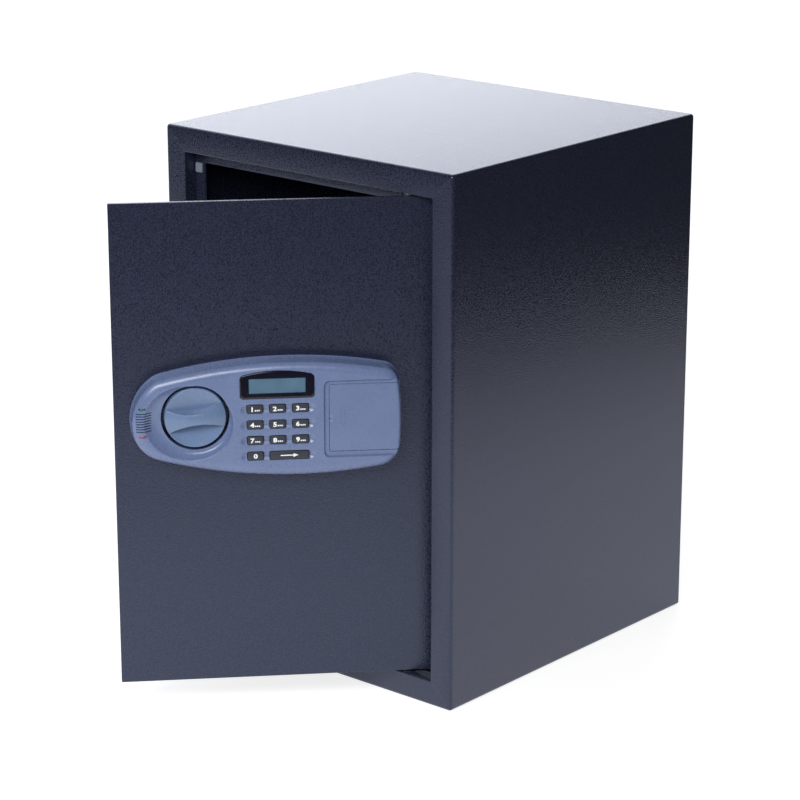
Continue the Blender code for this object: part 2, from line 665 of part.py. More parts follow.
def build_solenoid(door):
    x, y = PLUNGER
    bore = PLUNGER_R + RUNNING
    bottom, top, sheet = COIL_Z0 - 1.8, COIL_Z1 + 1.8, 1.5
    back = y + 7.2 + GAP
    section = ((y - 8, bottom), (back + sheet, bottom), (back + sheet, top), (y - 8, top),
               (y - 8, top - sheet), (back, top - sheet), (back, bottom + sheet), (y - 8, bottom + sheet))
    bm = bmesh.new()
    loft(bm, [[(x + side * 9, along, z) for along, z in section] for side in (-1, 1)])
    frame = door.add("solenoid_frame", bm, "steel")
    cuts = bmesh.new()
    rod(cuts, (x, y, bottom - 5), AXIS_Z, 45, bore)
    door.boolean(frame, cuts)
    bm = bmesh.new()
    tube(bm, (x, y, COIL_Z0), AXIS_Z, COIL_Z1 - COIL_Z0, 7.2, bore)
    door.add("solenoid_coil", bm, "copper")
    bm = bmesh.new()
    turned(bm, (x, y, 0), AXIS_Z, (
        (PLUNGER_TIP, 0.8), (PLUNGER_TIP + 1.4, 2.2), (PLUNGER_TIP + 1.8, 2.2), (PLUNGER_TIP + 1.8, 4.6),
        (PLUNGER_TIP + 2.8, 4.6), (PLUNGER_TIP + 2.8, PLUNGER_R), (top + 4.3, PLUNGER_R),
        (top + 4.3, 4.6), (top + 5.5, 4.6)))
    door.add("solenoid_plunger", bm, "steel", pivot=(x, y, PLUNGER_TIP))
    build_plunger_spring(door, x, y, PLUNGER_TIP + 2.8 + GAP, bottom - GAP)


def build_plunger_spring(door, x, y, low, high, wire=0.35, coil=4.0, turns=3, steps=10):
    """A helix of round wire, swept ring by ring."""
    rings = []
    count = turns * steps
    for i in range(count + 1):
        turn = 2 * math.pi * i / steps
        rise = low + wire + (high - low - 2 * wire) * i / count
        outward = Vector((math.cos(turn), math.sin(turn), 0))
        centre = Vector((x, y, rise)) + outward * coil
        rings.append([
            centre + (outward * math.cos(a) + AXIS_Z * math.sin(a)) * wire
            for a in (2 * math.pi * side / 5 for side in range(5))
        ])
    bm = bmesh.new()
    loft(bm, rings)
    door.add("plunger_spring", bm, "steel")


def build_solenoid_lead(door):
    """The wire from the coil through the door to the board, on a smooth curve through its route."""
    points = [Vector(point) for point in LEAD_ROUTE]
    path = []
    for i in range(len(points) - 1):
        before, start, end = points[max(i - 1, 0)], points[i], points[i + 1]
        after = points[min(i + 2, len(points) - 1)]
        for step in range(LEAD_STEPS):
            t = step / LEAD_STEPS
            square = (2 * before - 5 * start + 4 * end - after) * t**2
            cube = (3 * start - before - 3 * end + after) * t**3
            path.append(0.5 * (2 * start + (end - before) * t + square + cube))
    path.append(points[-1])
    curve = bpy.data.curves.new("solenoid_lead", "CURVE")
    curve.dimensions = "3D"
    curve.bevel_depth = 0.9 * MM
    curve.bevel_resolution = 2
    curve.use_fill_caps = True
    spline = curve.splines.new("POLY")
    spline.points.add(len(path) - 1)
    for slot, point in zip(spline.points, path):
        slot.co = (*((point - door.origin) * MM), 1)
    lead = bpy.data.objects.new("solenoid_lead", curve)
    curve.materials.append(finish("led_red"))
    lead.parent = door.empty
    bpy.context.collection.objects.link(lead)


def build_inner_cover(door):
    """A sheet box over the boltwork, open towards the door, with a screw flange above and below."""
    x0, x1, z0, z1 = COVER_BOX
    sheet, flange = 1.2, 10.0
    bm = bmesh.new()
    loft(bm, [
        at_depth(rounded_rect(x0 + inset, x1 - inset, z0 + inset, z1 - inset, 2 - inset), y)
        for inset, y in ((0, COVER_BOX_Y), (0, INSIDE), (sheet, INSIDE), (sheet, COVER_BOX_Y - sheet))
    ])
    cover = door.add("inner_cover", bm, "powder_coat")
    tabs = bmesh.new()
    box(tabs, x0 + 2, x1 - 2, INSIDE, INSIDE + sheet, z0 - flange, z0 + 0.6)
    box(tabs, x0 + 2, x1 - 2, INSIDE, INSIDE + sheet, z1 - 0.6, z1 + flange)
    door.boolean(cover, tabs, "UNION")
    cuts = bmesh.new()
    for z in BOLT_Z:
        rod(cuts, (x0 - 5, BOLT_Y, z), AXIS_X, 10, BOLT_R + 0.5)
    rod(cuts, (RESET[0], COVER_BOX_Y - 5, RESET[1]), AXIS_Y, 10, 3.8)
    for x, z in SCREWS:
        rod(cuts, (x, INSIDE - 3, z), AXIS_Y, 8, 2.3, sides=12)
    door.boolean(cover, cuts)
    for i, (x, z) in enumerate(SCREWS):
        head = INSIDE + sheet + GAP
        bm = bmesh.new()
        turned(bm, (x, 0, z), AXIS_Y, ((DOOR_Y + 2, 1.9), (head, 1.9), (head, 3.7), (head + 1.4, 3.3),
                                       (head + 2.2, 1.8)), sides=16)
        door.add(f"cover_screw_{i + 1}", bm, "steel")
    bm = bmesh.new()
    turned(bm, (RESET[0], 0, RESET[1]), AXIS_Y, ((28, 3.5), (39, 3.5), (39.5, 3.0)), sides=20)
    door.add("reset_button", bm, "led_red", pivot=(RESET[0], 28, RESET[1]))


def main():
    clear_scene()
    root = add_empty("cabinet_frame", (0, -DEPTH / 2, 0))
    cabinet = Group(root, (0, 0, 0))
    for build in (build_shell, build_back_panel, build_shelf, build_floor_mat, build_bump_stop,
                  build_hinge_washers):
        build(cabinet)
    door_axis = add_empty("door_axis", (*PIVOT, 0), parent=root)
    door = Group(door_axis, (*PIVOT, 0))
    build_door_panel(door)
    build_hinge_side(door, "upper", flip=False)
    build_hinge_side(door, "lower", flip=True)
    for build in (build_fascia, build_battery_cover, build_display, build_status_lights, build_keypad,
                  build_batteries, build_override_lock, build_knob, build_carriage, build_bolts,
                  build_solenoid, build_solenoid_lead, build_inner_cover):
        build(door)
    door_axis.rotation_euler.z = math.radians(AJAR)


main()
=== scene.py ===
"""The looks of the in-room safe: powder-coated cabinet and door, moulded lock fascia, knob, keypad,
display and boltwork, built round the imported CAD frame.

Shapes on the door are drawn with the door shut, in millimetres: x to the right, y to the back from
the plane of the cabinet's front, z up. DOOR takes them to where the door stands ajar, in metres.
"""

import json
import math

import bmesh
import bpy
import numpy as np
from mathutils import Matrix, Vector
from mathutils.geometry import delaunay_2d_cdt
from mathutils.kdtree import KDTree


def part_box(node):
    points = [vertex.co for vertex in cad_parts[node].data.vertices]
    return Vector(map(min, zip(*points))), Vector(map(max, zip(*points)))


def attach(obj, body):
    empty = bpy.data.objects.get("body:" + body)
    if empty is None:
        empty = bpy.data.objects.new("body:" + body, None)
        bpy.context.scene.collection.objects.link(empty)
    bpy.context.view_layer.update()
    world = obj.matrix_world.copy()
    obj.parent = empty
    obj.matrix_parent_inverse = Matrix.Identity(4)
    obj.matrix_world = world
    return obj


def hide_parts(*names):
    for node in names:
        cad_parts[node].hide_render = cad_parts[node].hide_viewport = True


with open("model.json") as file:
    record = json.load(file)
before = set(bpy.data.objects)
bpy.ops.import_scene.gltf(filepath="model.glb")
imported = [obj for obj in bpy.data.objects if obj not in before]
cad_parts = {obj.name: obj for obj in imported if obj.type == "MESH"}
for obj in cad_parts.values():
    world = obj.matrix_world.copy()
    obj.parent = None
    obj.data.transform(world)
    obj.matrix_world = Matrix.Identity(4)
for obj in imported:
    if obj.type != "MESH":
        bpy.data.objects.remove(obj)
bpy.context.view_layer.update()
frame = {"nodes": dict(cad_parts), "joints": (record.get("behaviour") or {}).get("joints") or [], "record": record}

MM = 0.001
NODES = frame["nodes"]
JOINTS = {joint["name"]: joint for joint in frame["joints"]}
SHELL_LOW, SHELL_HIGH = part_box("cabinet_shell")
HINGE = Vector(JOINTS["door_hinge"]["pos_m"])
AJAR = math.radians(-JOINTS["door_hinge"]["range_deg"][0])  # how far open the door stands at rest
SHUT = Matrix.Translation((0, SHELL_LOW.y, 0)) @ Matrix.Scale(MM, 4)
DOOR = Matrix.Translation(HINGE) @ Matrix.Rotation(AJAR, 4, "Z") @ Matrix.Translation(-HINGE) @ SHUT


def drawn_box(node, placed=DOOR):
    """Lowest and highest corner of a CAD node in the millimetres that it was drawn in."""
    back = placed.inverted()
    points = np.array([back @ vertex.co for vertex in NODES[node].data.vertices])
    return Vector(points.min(0)), Vector(points.max(0))


def middle(node):
    low, high = drawn_box(node)
    return (low + high) / 2


# ---- Outlines, as arrays of (x, z)


def arc(centre_x, centre_z, radius, start, end, steps):
    sweep = (end - start) % (2 * math.pi)
    angles = start + sweep * np.arange(steps) / steps
    return np.stack([centre_x + radius * np.cos(angles), centre_z + radius * np.sin(angles)], 1)


def ellipse(centre_x, centre_z, wide, high, steps=96):
    angles = 2 * math.pi * np.arange(steps) / steps
    return np.stack([centre_x + wide * np.cos(angles), centre_z + high * np.sin(angles)], 1)


def rounded_rect(x0, x1, z0, z1, radius, steps=6):
    parts = []
    for x, z, start in ((x1 - radius, z0 + radius, -90), (x1 - radius, z1 - radius, 0),
                        (x0 + radius, z1 - radius, 90), (x0 + radius, z0 + radius, 180)):
        angles = np.radians(start + 90 * np.arange(steps + 1) / steps)
        parts.append(np.stack([x + radius * np.cos(angles), z + radius * np.sin(angles)], 1))
    return np.concatenate(parts)


def divided(outline, longest):
    """The closed outline with points added along its long sides."""
    parts = []
    for start, end in zip(outline, np.roll(outline, -1, 0)):
        count = max(1, math.ceil(math.dist(start, end) / longest))
        parts.append(start + (end - start) * np.arange(count)[:, None] / count)
    return np.concatenate(parts)


def arched_rect(x0, x1, z0, spring, crown, radius):
    """A rectangle with round corners, and a top edge that rises by crown above spring."""
    outline = divided(rounded_rect(x0, x1, z0, spring, radius), 1.5)
    across = (outline[:, 0] - (x0 + x1) / 2) / ((x1 - x0) / 2)
    share = np.clip((outline[:, 1] - spring + radius) / radius, 0, 1)
    outline[:, 1] += crown * (1 - across**2) * share
    return outline


def closed(outline):
    return np.concatenate([outline, outline[:1]])


# (centre x, centre z, radius) of the fascia's right, top, left and bottom sides, and of its corners
FASCIA_SIDES = ((-212.5, 272.9, 319.5), (3.1, -144.5, 477.1), (-88.2, 277.4, 47.4), (14.9, 688.4, 464.2))
FASCIA_CORNERS = (16.8, 23.7, 32.7, 22.9)


def corner_centre(first, second, radius, towards):
    """Centre of the arc that rounds the corner where two sides cross: towards picks the crossing."""
    (ax, az, ar), (bx, bz, br) = first, second
    near, far = ar - radius, br - radius
    span = math.hypot(bx - ax, bz - az)
    ux, uz = (bx - ax) / span, (bz - az) / span
    along = (near**2 - far**2 + span**2) / (2 * span)
    across = math.sqrt(near**2 - along**2)
    ends = [(ax + ux * along - uz * side * across, az + uz * along + ux * side * across)
            for side in (1, -1)]
    return max(ends, key=lambda end: end[0] * towards[0] + end[1] * towards[1])


def fascia_outline(inset, side_steps=64, corner_steps=20):
    """Four long arcs and the four corner arcs between them, all drawn in by the inset."""
    centres = [
        corner_centre(FASCIA_SIDES[i], FASCIA_SIDES[(i + 1) % 4], FASCIA_CORNERS[i], towards)
        for i, towards in enumerate(((1, 1), (-1, 1), (-1, -1), (1, -1)))
    ]
    parts = []
    for i, (cx, cz, radius) in enumerate(FASCIA_SIDES):
        nx, nz, _ = FASCIA_SIDES[(i + 1) % 4]
        before, after = centres[i - 1], centres[i]
        start = math.atan2(before[1] - cz, before[0] - cx)
        end = math.atan2(after[1] - cz, after[0] - cx)
        parts.append(arc(cx, cz, radius - inset, start, end, side_steps))
        turn = math.atan2(after[1] - nz, after[0] - nx)
        parts.append(arc(*after, FASCIA_CORNERS[i] - inset, end, turn, corner_steps))
    return np.concatenate(parts)


def distance_inside(points, outline):
    """How far each point is inside a closed outline; negative outside."""
    starts, ends = outline, np.roll(outline, -1, 0)
    best = np.full(len(points), 1e9)
    crossings = np.zeros(len(points), int)
    for (ax, az), (bx, bz) in zip(starts, ends):
        along = np.array([bx - ax, bz - az])
        length = along @ along
        if length < 1e-12:
            continue
        offset = points - (ax, az)
        share = np.clip(offset @ along / length, 0, 1)
        best = np.minimum(best, np.hypot(*(offset - share[:, None] * along).T))
        crosses = (az > points[:, 1]) != (bz > points[:, 1])
        reach = ax + (points[:, 1] - az) * (bx - ax) / (bz - az if bz != az else 1)
        crossings += crosses & (points[:, 0] < reach)
    return np.where(crossings % 2 == 1, best, -best)


def smooth(value):
    """An S-shaped rise from 0 to 1."""
    value = np.clip(value, 0, 1)
    return value * value * (3 - 2 * value)


def quarter(share):
    """The rise of a quarter circle, from 0, upright, to 1, level."""
    return np.sqrt(np.clip(1 - (1 - np.clip(share, 0, 1)) ** 2, 0, 1))


def soft_less(first, second, blend):
    """The lesser of two heights, with their meeting rounded over the blend."""
    overlap = np.maximum(blend - np.abs(first - second), 0) / blend
    return np.minimum(first, second) - overlap**2 * blend / 4


def soft_more(first, second, blend):
    return -soft_less(-first, -second, blend)


# ---- Solids

BEVEL_SEGMENTS, BEVEL_FROM = 3, math.radians(40)  # edges that turn by less stay as they are


def loft(bm, rings, capped=True):
    """Skins a stack of equal rings. It is capped at both ends, or its last ring joins its first."""
    rows = [[bm.verts.new(point) for point in ring] for ring in rings]
    pairs = list(zip(rows, rows[1:]))
    if not capped:
        pairs.append((rows[-1], rows[0]))
    for low, high in pairs:
        for i in range(len(low)):
            j = (i + 1) % len(low)
            bm.faces.new((low[i], low[j], high[j], high[i]))
    if capped:
        bm.faces.new(rows[0])
        bm.faces.new(rows[-1])


def at_depth(outline, y):
    return [(x, y, z) for x, z in outline]


def prism(bm, outline, y0, y1):
    loft(bm, [at_depth(outline, y0), at_depth(outline, y1)])


def box(bm, x0, x1, y0, y1, z0, z1):
    prism(bm, [(x0, z0), (x1, z0), (x1, z1), (x0, z1)], y0, y1)


def turned(bm, start, axis, profile, sides=48):
    """A turned solid: the profile's (distance along the axis, radius) pairs, spun round it."""
    axis = Vector(axis)
    across = axis.orthogonal().normalized()
    other = axis.cross(across)
    rings = []
    for along, radius in profile:
        centre = Vector(start) + axis * along
        rings.append([
            centre + (across * math.cos(angle) + other * math.sin(angle)) * radius
            for angle in (2 * math.pi * i / sides for i in range(sides))
        ])
    loft(bm, rings)


def grid_points(outline, spacing, margin):
    """A triangular grid of points that are at least margin inside the outline."""
    low, high = outline.min(0), outline.max(0)
    rows = np.arange(low[1], high[1], spacing * math.sqrt(3) / 2)
    points = []
    for i, z in enumerate(rows):
        across = np.arange(low[0] + (i % 2) * spacing / 2, high[0], spacing)
        points.append(np.stack([across, np.full(len(across), z)], 1))
    points = np.concatenate(points)
    return points[distance_inside(points, outline) > margin]


def clear_of(points, runs, gap):
    """The points that no run passes within the gap of."""
    along = []
    for run in runs:
        for start, end in zip(run, run[1:]):
            count = max(1, math.ceil(math.dist(start, end) / gap))
            along.append(start + (end - start) * np.arange(count)[:, None] / count)
    along = np.concatenate(along)
    tree = KDTree(len(along))
    for i, (x, z) in enumerate(along):
        tree.insert((x, z, 0), i)
    tree.balance()
    return np.array([point for point in points if tree.find((*point, 0))[2] > gap])


def relief(bm, outline, height, lines, spacing, back):
    """A solid whose front is height over the outline's inside, with an edge along each open line."""
    runs = [closed(outline), *lines]
    edges, count = [], 0
    for run in runs:
        edges += [(count + i, count + i + 1) for i in range(len(run) - 1)]
        count += len(run)
    inside = clear_of(grid_points(outline, spacing, spacing * 0.4), runs, spacing * 0.25)
    everything = np.concatenate([*runs, inside])
    made = delaunay_2d_cdt([Vector(point) for point in everything], edges, [], 1, 1e-4)
    flat = np.array([tuple(point) for point in made[0]])
    front = [bm.verts.new((x, -lift, z)) for (x, z), lift in zip(flat, height(flat))]
    for face in made[2]:
        bm.faces.new([front[i] for i in face])
    loose = [vertex for vertex in front if not vertex.link_faces]
    bmesh.ops.delete(bm, geom=loose, context="VERTS")
    rim = [edge for edge in bm.edges if edge.is_boundary]
    wall = bmesh.ops.extrude_edge_only(bm, edges=rim)["geom"]
    for vertex in (item for item in wall if isinstance(item, bmesh.types.BMVert)):
        vertex.co.y = back
    rim = [item for item in wall if isinstance(item, bmesh.types.BMEdge) and item.is_boundary]
    bmesh.ops.triangle_fill(bm, use_beauty=True, edges=rim)


def solid_object(name, bm, placed, smooth_angle=30.0):
    """A mesh object in the shared frame, from solids that were drawn in millimetres."""
    bmesh.ops.recalc_face_normals(bm, faces=bm.faces)
    bmesh.ops.transform(bm, matrix=placed, verts=bm.verts)
    mesh = bpy.data.meshes.new(name)
    bm.to_mesh(mesh)
    bm.free()
    mesh.shade_smooth()
    mesh.set_sharp_from_angle(angle=math.radians(smooth_angle))
    obj = bpy.data.objects.new(name, mesh)
    bpy.context.scene.collection.objects.link(obj)
    return obj


def cut(target, cutters, placed, smooth_angle=30.0):
    """Takes each bmesh of cutters away from the target and keeps the result as its mesh."""
    for cutter_bm in cutters:
        cutter = solid_object("cutter", cutter_bm, placed)
        modifier = target.modifiers.new("cut", "BOOLEAN")
        modifier.object = cutter
        modifier.operation = "DIFFERENCE"
        modifier.solver = "MANIFOLD"
        evaluated = target.evaluated_get(bpy.context.evaluated_depsgraph_get())
        mesh = bpy.data.meshes.new_from_object(evaluated)
        target.modifiers.clear()
        target.data = mesh
        bpy.data.objects.remove(cutter, do_unlink=True)
    target.data.shade_smooth()
    target.data.set_sharp_from_angle(angle=math.radians(smooth_angle))


def bevel(obj, width):
    """Rounds the sharp edges by the width, in millimetres, and evens the shading beside them."""
    modifier = obj.modifiers.new("edges", "BEVEL")
    modifier.width = width * MM
    modifier.segments = BEVEL_SEGMENTS
    modifier.limit_method = "ANGLE"
    modifier.angle_limit = BEVEL_FROM
    even = obj.modifiers.new("even shading", "WEIGHTED_NORMAL")
    even.keep_sharp = True
    return obj


def dress(obj, body, material, slot, *replaced):
    """Gives a piece its material and its body, and hides the CAD nodes that it stands for. The slot is not used.
    """
    obj.data.materials.clear()
    obj.data.materials.append(material)
    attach(obj, body)
    if replaced:
        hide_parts(*replaced)
    return obj


# ---- Materials


class Shader:
    """A material's nodes, with short ways to add and join them."""

    def __init__(self, name, colour, roughness, metallic=0.0, **sockets):
        self.material = bpy.data.materials.new(name)
        self.material.use_nodes = True
        self.nodes = self.material.node_tree.nodes
        self.links = self.material.node_tree.links
        self.principled = self.nodes["Principled BSDF"]
        self.set(self.principled, Base_Color=(*colour, 1.0), Roughness=roughness, Metallic=metallic)
        self.set(self.principled, **sockets)
        self.where = self.nodes.new("ShaderNodeTexCoord").outputs["Object"]

    @staticmethod
    def set(node, **sockets):
        for name, value in sockets.items():
            node.inputs[name.replace("_", " ")].default_value = value

    def add(self, kind, links=None, properties=None, **sockets):
        node = self.nodes.new(kind)
        for name, value in (properties or {}).items():
            setattr(node, name, value)
        self.set(node, **sockets)
        for name, source in (links or {}).items():
            self.links.new(source, node.inputs[name])
        return node

    def noise(self, scale, detail=3.0, roughness=0.5, stretch=(1, 1, 1)):
        where = self.add("ShaderNodeMapping", {"Vector": self.where}, Scale=stretch).outputs[0]
        return self.add("ShaderNodeTexNoise", {"Vector": where}, Scale=scale, Detail=detail,
                        Roughness=roughness).outputs["Fac"]

    def ramp(self, value, low, high, to_low=0.0, to_high=1.0):
        return self.add("ShaderNodeMapRange", {"Value": value}, From_Min=low, From_Max=high,
                        To_Min=to_low, To_Max=to_high).outputs["Result"]

    def mix_colour(self, factor, first, second):
        node = self.add("ShaderNodeMix", {0: factor}, {"data_type": "RGBA"})
        node.inputs[6].default_value = (*first, 1.0)
        node.inputs[7].default_value = (*second, 1.0)
        return node.outputs[2]

    def math(self, operation, first, second):
        node = self.add("ShaderNodeMath", properties={"operation": operation})
        for socket, value in zip(node.inputs, (first, second)):
            if isinstance(value, (int, float)):
                socket.default_value = value
            else:
                self.links.new(value, socket)
        return node.outputs[0]

    def bump(self, height, distance):
        return self.add("ShaderNodeBump", {"Height": height}, Distance=distance, Strength=1.0).outputs[0]

    def finish(self, colour=None, roughness=None, normal=None):
        for name, source in (("Base Color", colour), ("Roughness", roughness), ("Normal", normal)):
            if source is not None:
                self.links.new(source, self.principled.inputs[name])
        return self.material


def powder_coat():
    """Blue-black powder coat: a pebbled grain, fine orange peel on it, and edges a touch paler, partly worn paint
    and partly a painted highlight.
    """
    s = Shader("powder_coat", (0.015, 0.018, 0.035), 0.19, Specular_IOR_Level=0.8,
               Specular_Tint=(0.64, 0.72, 1.0, 1.0))
    cells = s.add("ShaderNodeTexVoronoi", {"Vector": s.where}, {"feature": "F1"}, Scale=820.0,
                  Randomness=1.0).outputs["Distance"]
    pebble = s.ramp(cells, 0.0, 0.75, 1.0, 0.0)
    peel = s.noise(1300.0, 2.0)
    grain = s.math("ADD", s.math("MULTIPLY", pebble, 0.8), s.math("MULTIPLY", peel, 0.2))
    normal = s.bump(grain, 0.00014)
    colour = s.mix_colour(s.ramp(grain, 0.25, 0.8), (0.012, 0.014, 0.028), (0.028, 0.033, 0.061))
    # Paler where the mesh is pointed: worn paint along the edges, and a painted highlight standing in for their
    # glints.
    edge = s.add("ShaderNodeNewGeometry").outputs["Pointiness"]
    wear_and_highlight = s.add("ShaderNodeMix", {0: s.ramp(edge, 0.56, 0.64), 6: colour}, {"data_type": "RGBA"})
    wear_and_highlight.inputs[7].default_value = (0.07, 0.08, 0.10, 1.0)
    roughness = s.ramp(s.noise(300.0, 3.0), 0.3, 0.7, 0.18, 0.21)
    return s.finish(wear_and_highlight.outputs[2], roughness, normal)


def moulded(name, colour, roughness, grain=0.000012, **sockets):
    """Moulded plastic with a spark-eroded micro texture and slightly uneven gloss."""
    s = Shader(name, colour, roughness, **sockets)
    fine = s.noise(2600.0, 3.0, 0.6)
    broad = s.noise(35.0, 2.0)
    tint = s.mix_colour(s.ramp(broad, 0.3, 0.7), [c * 0.96 for c in colour], [c * 1.04 for c in colour])
    gloss = s.ramp(s.noise(180.0, 3.0), 0.3, 0.7, roughness - 0.03, roughness + 0.04)
    return s.finish(tint, gloss, s.bump(fine, grain))


def brushed(name, colour, roughness):
    """Metal with fine drawn lines and a few duller patches."""
    s = Shader(name, colour, roughness, 1.0)
    lines = s.noise(900.0, 4.0, 0.6, (1, 1, 14))
    patches = s.noise(30.0, 3.0)
    tint = s.mix_colour(s.ramp(patches, 0.35, 0.7), [c * 0.85 for c in colour], colour)
    gloss = s.ramp(lines, 0.3, 0.7, roughness - 0.07, roughness + 0.10)
    return s.finish(tint, gloss, s.bump(lines, 0.00001))


def felt():
    """Black needle felt, its fibres matted along one way."""
    s = Shader("needle_felt", (0.018, 0.019, 0.022), 0.95)
    fibres = s.noise(1500.0, 6.0, 0.7, (1, 3, 1))
    tint = s.mix_colour(s.ramp(fibres, 0.35, 0.65), (0.010, 0.011, 0.013), (0.032, 0.033, 0.038))
    s.set(s.principled, Sheen_Weight=0.3)
    return s.finish(tint, None, s.bump(fibres, 0.0006))


def circuit():
    """Green solder mask over paler copper tracks."""
    s = Shader("solder_mask", (0.01, 0.12, 0.04), 0.35)
    tracks = s.add("ShaderNodeTexBrick", {"Vector": s.where}, Scale=160.0).outputs["Fac"]
    tint = s.mix_colour(tracks, (0.008, 0.10, 0.035), (0.02, 0.20, 0.08))
    return s.finish(tint, None, s.bump(tracks, 0.00004))


def winding():
    """Enamelled copper wire, wound turn by turn."""
    s = Shader("enamelled_wire", (0.45, 0.16, 0.05), 0.35, 0.8)
    turns = s.add("ShaderNodeTexWave", {"Vector": s.where}, {"bands_direction": "Z"},
                  Scale=320.0).outputs["Fac"]
    tint = s.mix_colour(turns, (0.25, 0.08, 0.03), (0.60, 0.25, 0.09))
    return s.finish(tint, None, s.bump(turns, 0.0002))


def display_glass():
    """The display's blue-green face, a little cloudy under its gloss."""
    s = Shader("display_glass", (0.092, 0.170, 0.245), 0.10, Coat_Weight=0.6, Coat_Roughness=0.03)
    cloud = s.noise(40.0, 2.0)
    tint = s.mix_colour(s.ramp(cloud, 0.3, 0.7), (0.083, 0.152, 0.224), (0.102, 0.188, 0.268))
    return s.finish(tint, None, s.bump(s.noise(25.0, 1.0), 0.00005))


def lens(name, colour):
    """A small tinted lens, unevenly deep in colour."""
    s = Shader(name, colour, 0.18, Coat_Weight=0.5, Coat_Roughness=0.05)
    lines = s.noise(1200.0, 2.0)
    tint = s.mix_colour(s.ramp(lines, 0.3, 0.7), [c * 0.7 for c in colour], colour)
    return s.finish(tint, None, s.bump(lines, 0.00003))


MATERIALS = {
    "powder_coat": powder_coat(),
    "fascia_plastic": moulded("fascia_plastic", (0.132, 0.177, 0.325), 0.27, Specular_IOR_Level=0.6),
    "knob_plastic": moulded("knob_plastic", (0.130, 0.195, 0.332), 0.25, Specular_IOR_Level=0.6),
    "key_plastic": moulded("key_plastic", (0.026, 0.030, 0.042), 0.36),
    "bezel_plastic": moulded("bezel_plastic", (0.006, 0.006, 0.014), 0.08, grain=0.000003),
    "legend_ink": moulded("legend_ink", (0.85, 0.86, 0.88), 0.45, grain=0.00001),
    "black_plastic": moulded("black_plastic", (0.012, 0.012, 0.013), 0.45),
    "battery_wrap": moulded("battery_wrap", (0.20, 0.21, 0.23), 0.25, grain=0.00001),
    "red_plastic": moulded("red_plastic", (0.35, 0.02, 0.02), 0.35),
    "rubber": moulded("rubber", (0.02, 0.02, 0.02), 0.75, grain=0.00006),
    # pale_pad gives the small block in the top-left corner of the door opening a pale grey face.
    "pale_pad": moulded("pale_pad", (0.16, 0.19, 0.23), 0.6, grain=0.0001),
    "steel": brushed("zinc_steel", (0.56, 0.57, 0.58), 0.30),
    "brass": brushed("brass", (0.62, 0.45, 0.18), 0.28),
    "felt": felt(),
    "circuit_green": circuit(),
    "copper": winding(),
    "display": display_glass(),
    "led_green": lens("led_green", (0.006, 0.10, 0.075)),
    "led_red": lens("led_red", (0.22, 0.025, 0.05)),
}


# ---- Fascia

PLATEAU = 19.5  # height of the fascia's face
WALL = ((0.0, 0.3), (0.45, 1.0), (1.0, 3.0), (1.45, 7.0), (2.2, 15.66))  # its side: inset, height
ROUND, ROUND_START = 9.0, math.sin(math.radians(55))  # radius of its rounding, and the lean it starts at
# where the side and the rounding get a line of points
RIM_INSETS = (0.2, 0.45, 1.0, 1.45, 2.2, 2.4, 3.0, 3.7, 4.5, 5.4, 6.4, 7.5, 8.6, 9.6)
BASE = 0.7  # y of its back, just in front of the door plate
SHELL = 2.2  # its wall's thickness
SCOOP = (-84.0, 278.0, 39.5, 34.5)  # centre and half axes of the hollow round the knob
SCOOP_LEAN, SCOOP_DEPTH, CREASE = 0.05, 6.0, 0.5
SCOOP_COVES = (11.0, 3.5)  # width of the cove at the left and at the right
LEDGE, LEDGE_STEP = 17.1, 1.1  # height of the cover and of the ledge round it, and its step's width
RECESS, RECESS_CORNER = (35.8, 150.0, 241.8, 313.2), 5.5  # left, right, bottom and top of that ledge
TROUGH_X, TROUGH_HALF, TROUGH_DEPTH = (-38.0, 27.5), 4.0, 1.8  # the trough that a row of keys stands in
KEY_ROWS = [middle(name).z for name in ("key_1", "key_4", "key_7", "key_0")]
KEYS = [f"key_{digit}" for digit in range(10)] + ["key_start"]
KEY_GAP, KEY_CORNER = 0.5, 1.3
GRILLE_X, GRILLE_Z, GRILLE_PITCH, GRILLE_COUNT, GRILLE_HALF = (-130.3, -116.6), 271.4, 2.35, 8, 0.45
KNOB = middle("knob")
KNOB_R = drawn_box("knob")[1].x - KNOB.x
WELL_GAP, WELL_WALL, WELL_FLOOR = 0.95, 2.6, 6.0  # the round well that the knob turns in
COVER_LOW, COVER_HIGH = drawn_box("battery_cover")
COVER_SEAM, COVER_CORNER, COVER_EDGE = 0.35, 1.5, 0.4
COVER_SQUARE = 15.0  # its outline is a rounded rectangle this far from the left, then meets the curve
THUMB_Z, THUMB_R, THUMB_DEPTH = 278.5, 3.5, 0.5  # the dish for a thumb at the cover's left edge
DOTS_X, DOTS_Z, DOTS_COUNT = (50.8, 54.0), (270.6, 287.3), 7
DOT = ((0, 0.6), (0.45, 0.55), (0.65, 0.35), (0.72, 0.1))  # height and radius of a grip dot
CELL_FRONT = -15.95  # y just in front of the cells, as far as the cover's inside goes
LCD_CROWN, LCD_CORNER = 4.2, 3.0
LED_CORNER = 0.7
BEFORE_ALL = -30.0  # y in front of everything on the door
KEY_HOLE_BACK, LED_HOLE_BACK, GRILLE_BACK = -8.0, -14.0, -13.5  # y where each kind of hole ends
BAY_END = 130.0  # x beyond the fascia's right side
LCD_GAP, LED_GAP = 0.3, 0.15
FASCIA_GRID, CAVITY_GRID, COVER_GRID = 1.4, 3.0, 1.2  # spacing of the points on each face
COVER_END_WALL = 3.6


def trough_outline(z):
    return rounded_rect(*TROUGH_X, z - TROUGH_HALF, z + TROUGH_HALF, TROUGH_HALF - 0.05, steps=10)


def scoop_outline(grow=0.0):
    cx, cz, wide, high = SCOOP
    outline = ellipse(cx, cz, wide + grow, high + grow, 144)
    outline[:, 1] -= SCOOP_LEAN * (outline[:, 0] - cx)
    return outline


def rim_height(inset):
    """The fascia's upright side, and the rounding between it and the face."""
    side, height = zip(*WALL)
    lean = np.clip(ROUND_START - (inset - side[-1]) / ROUND, 0, ROUND_START)
    rounded = PLATEAU - ROUND * (1 - np.sqrt(1 - lean**2))
    return np.where(inset < side[-1], np.interp(inset, side, height), rounded)


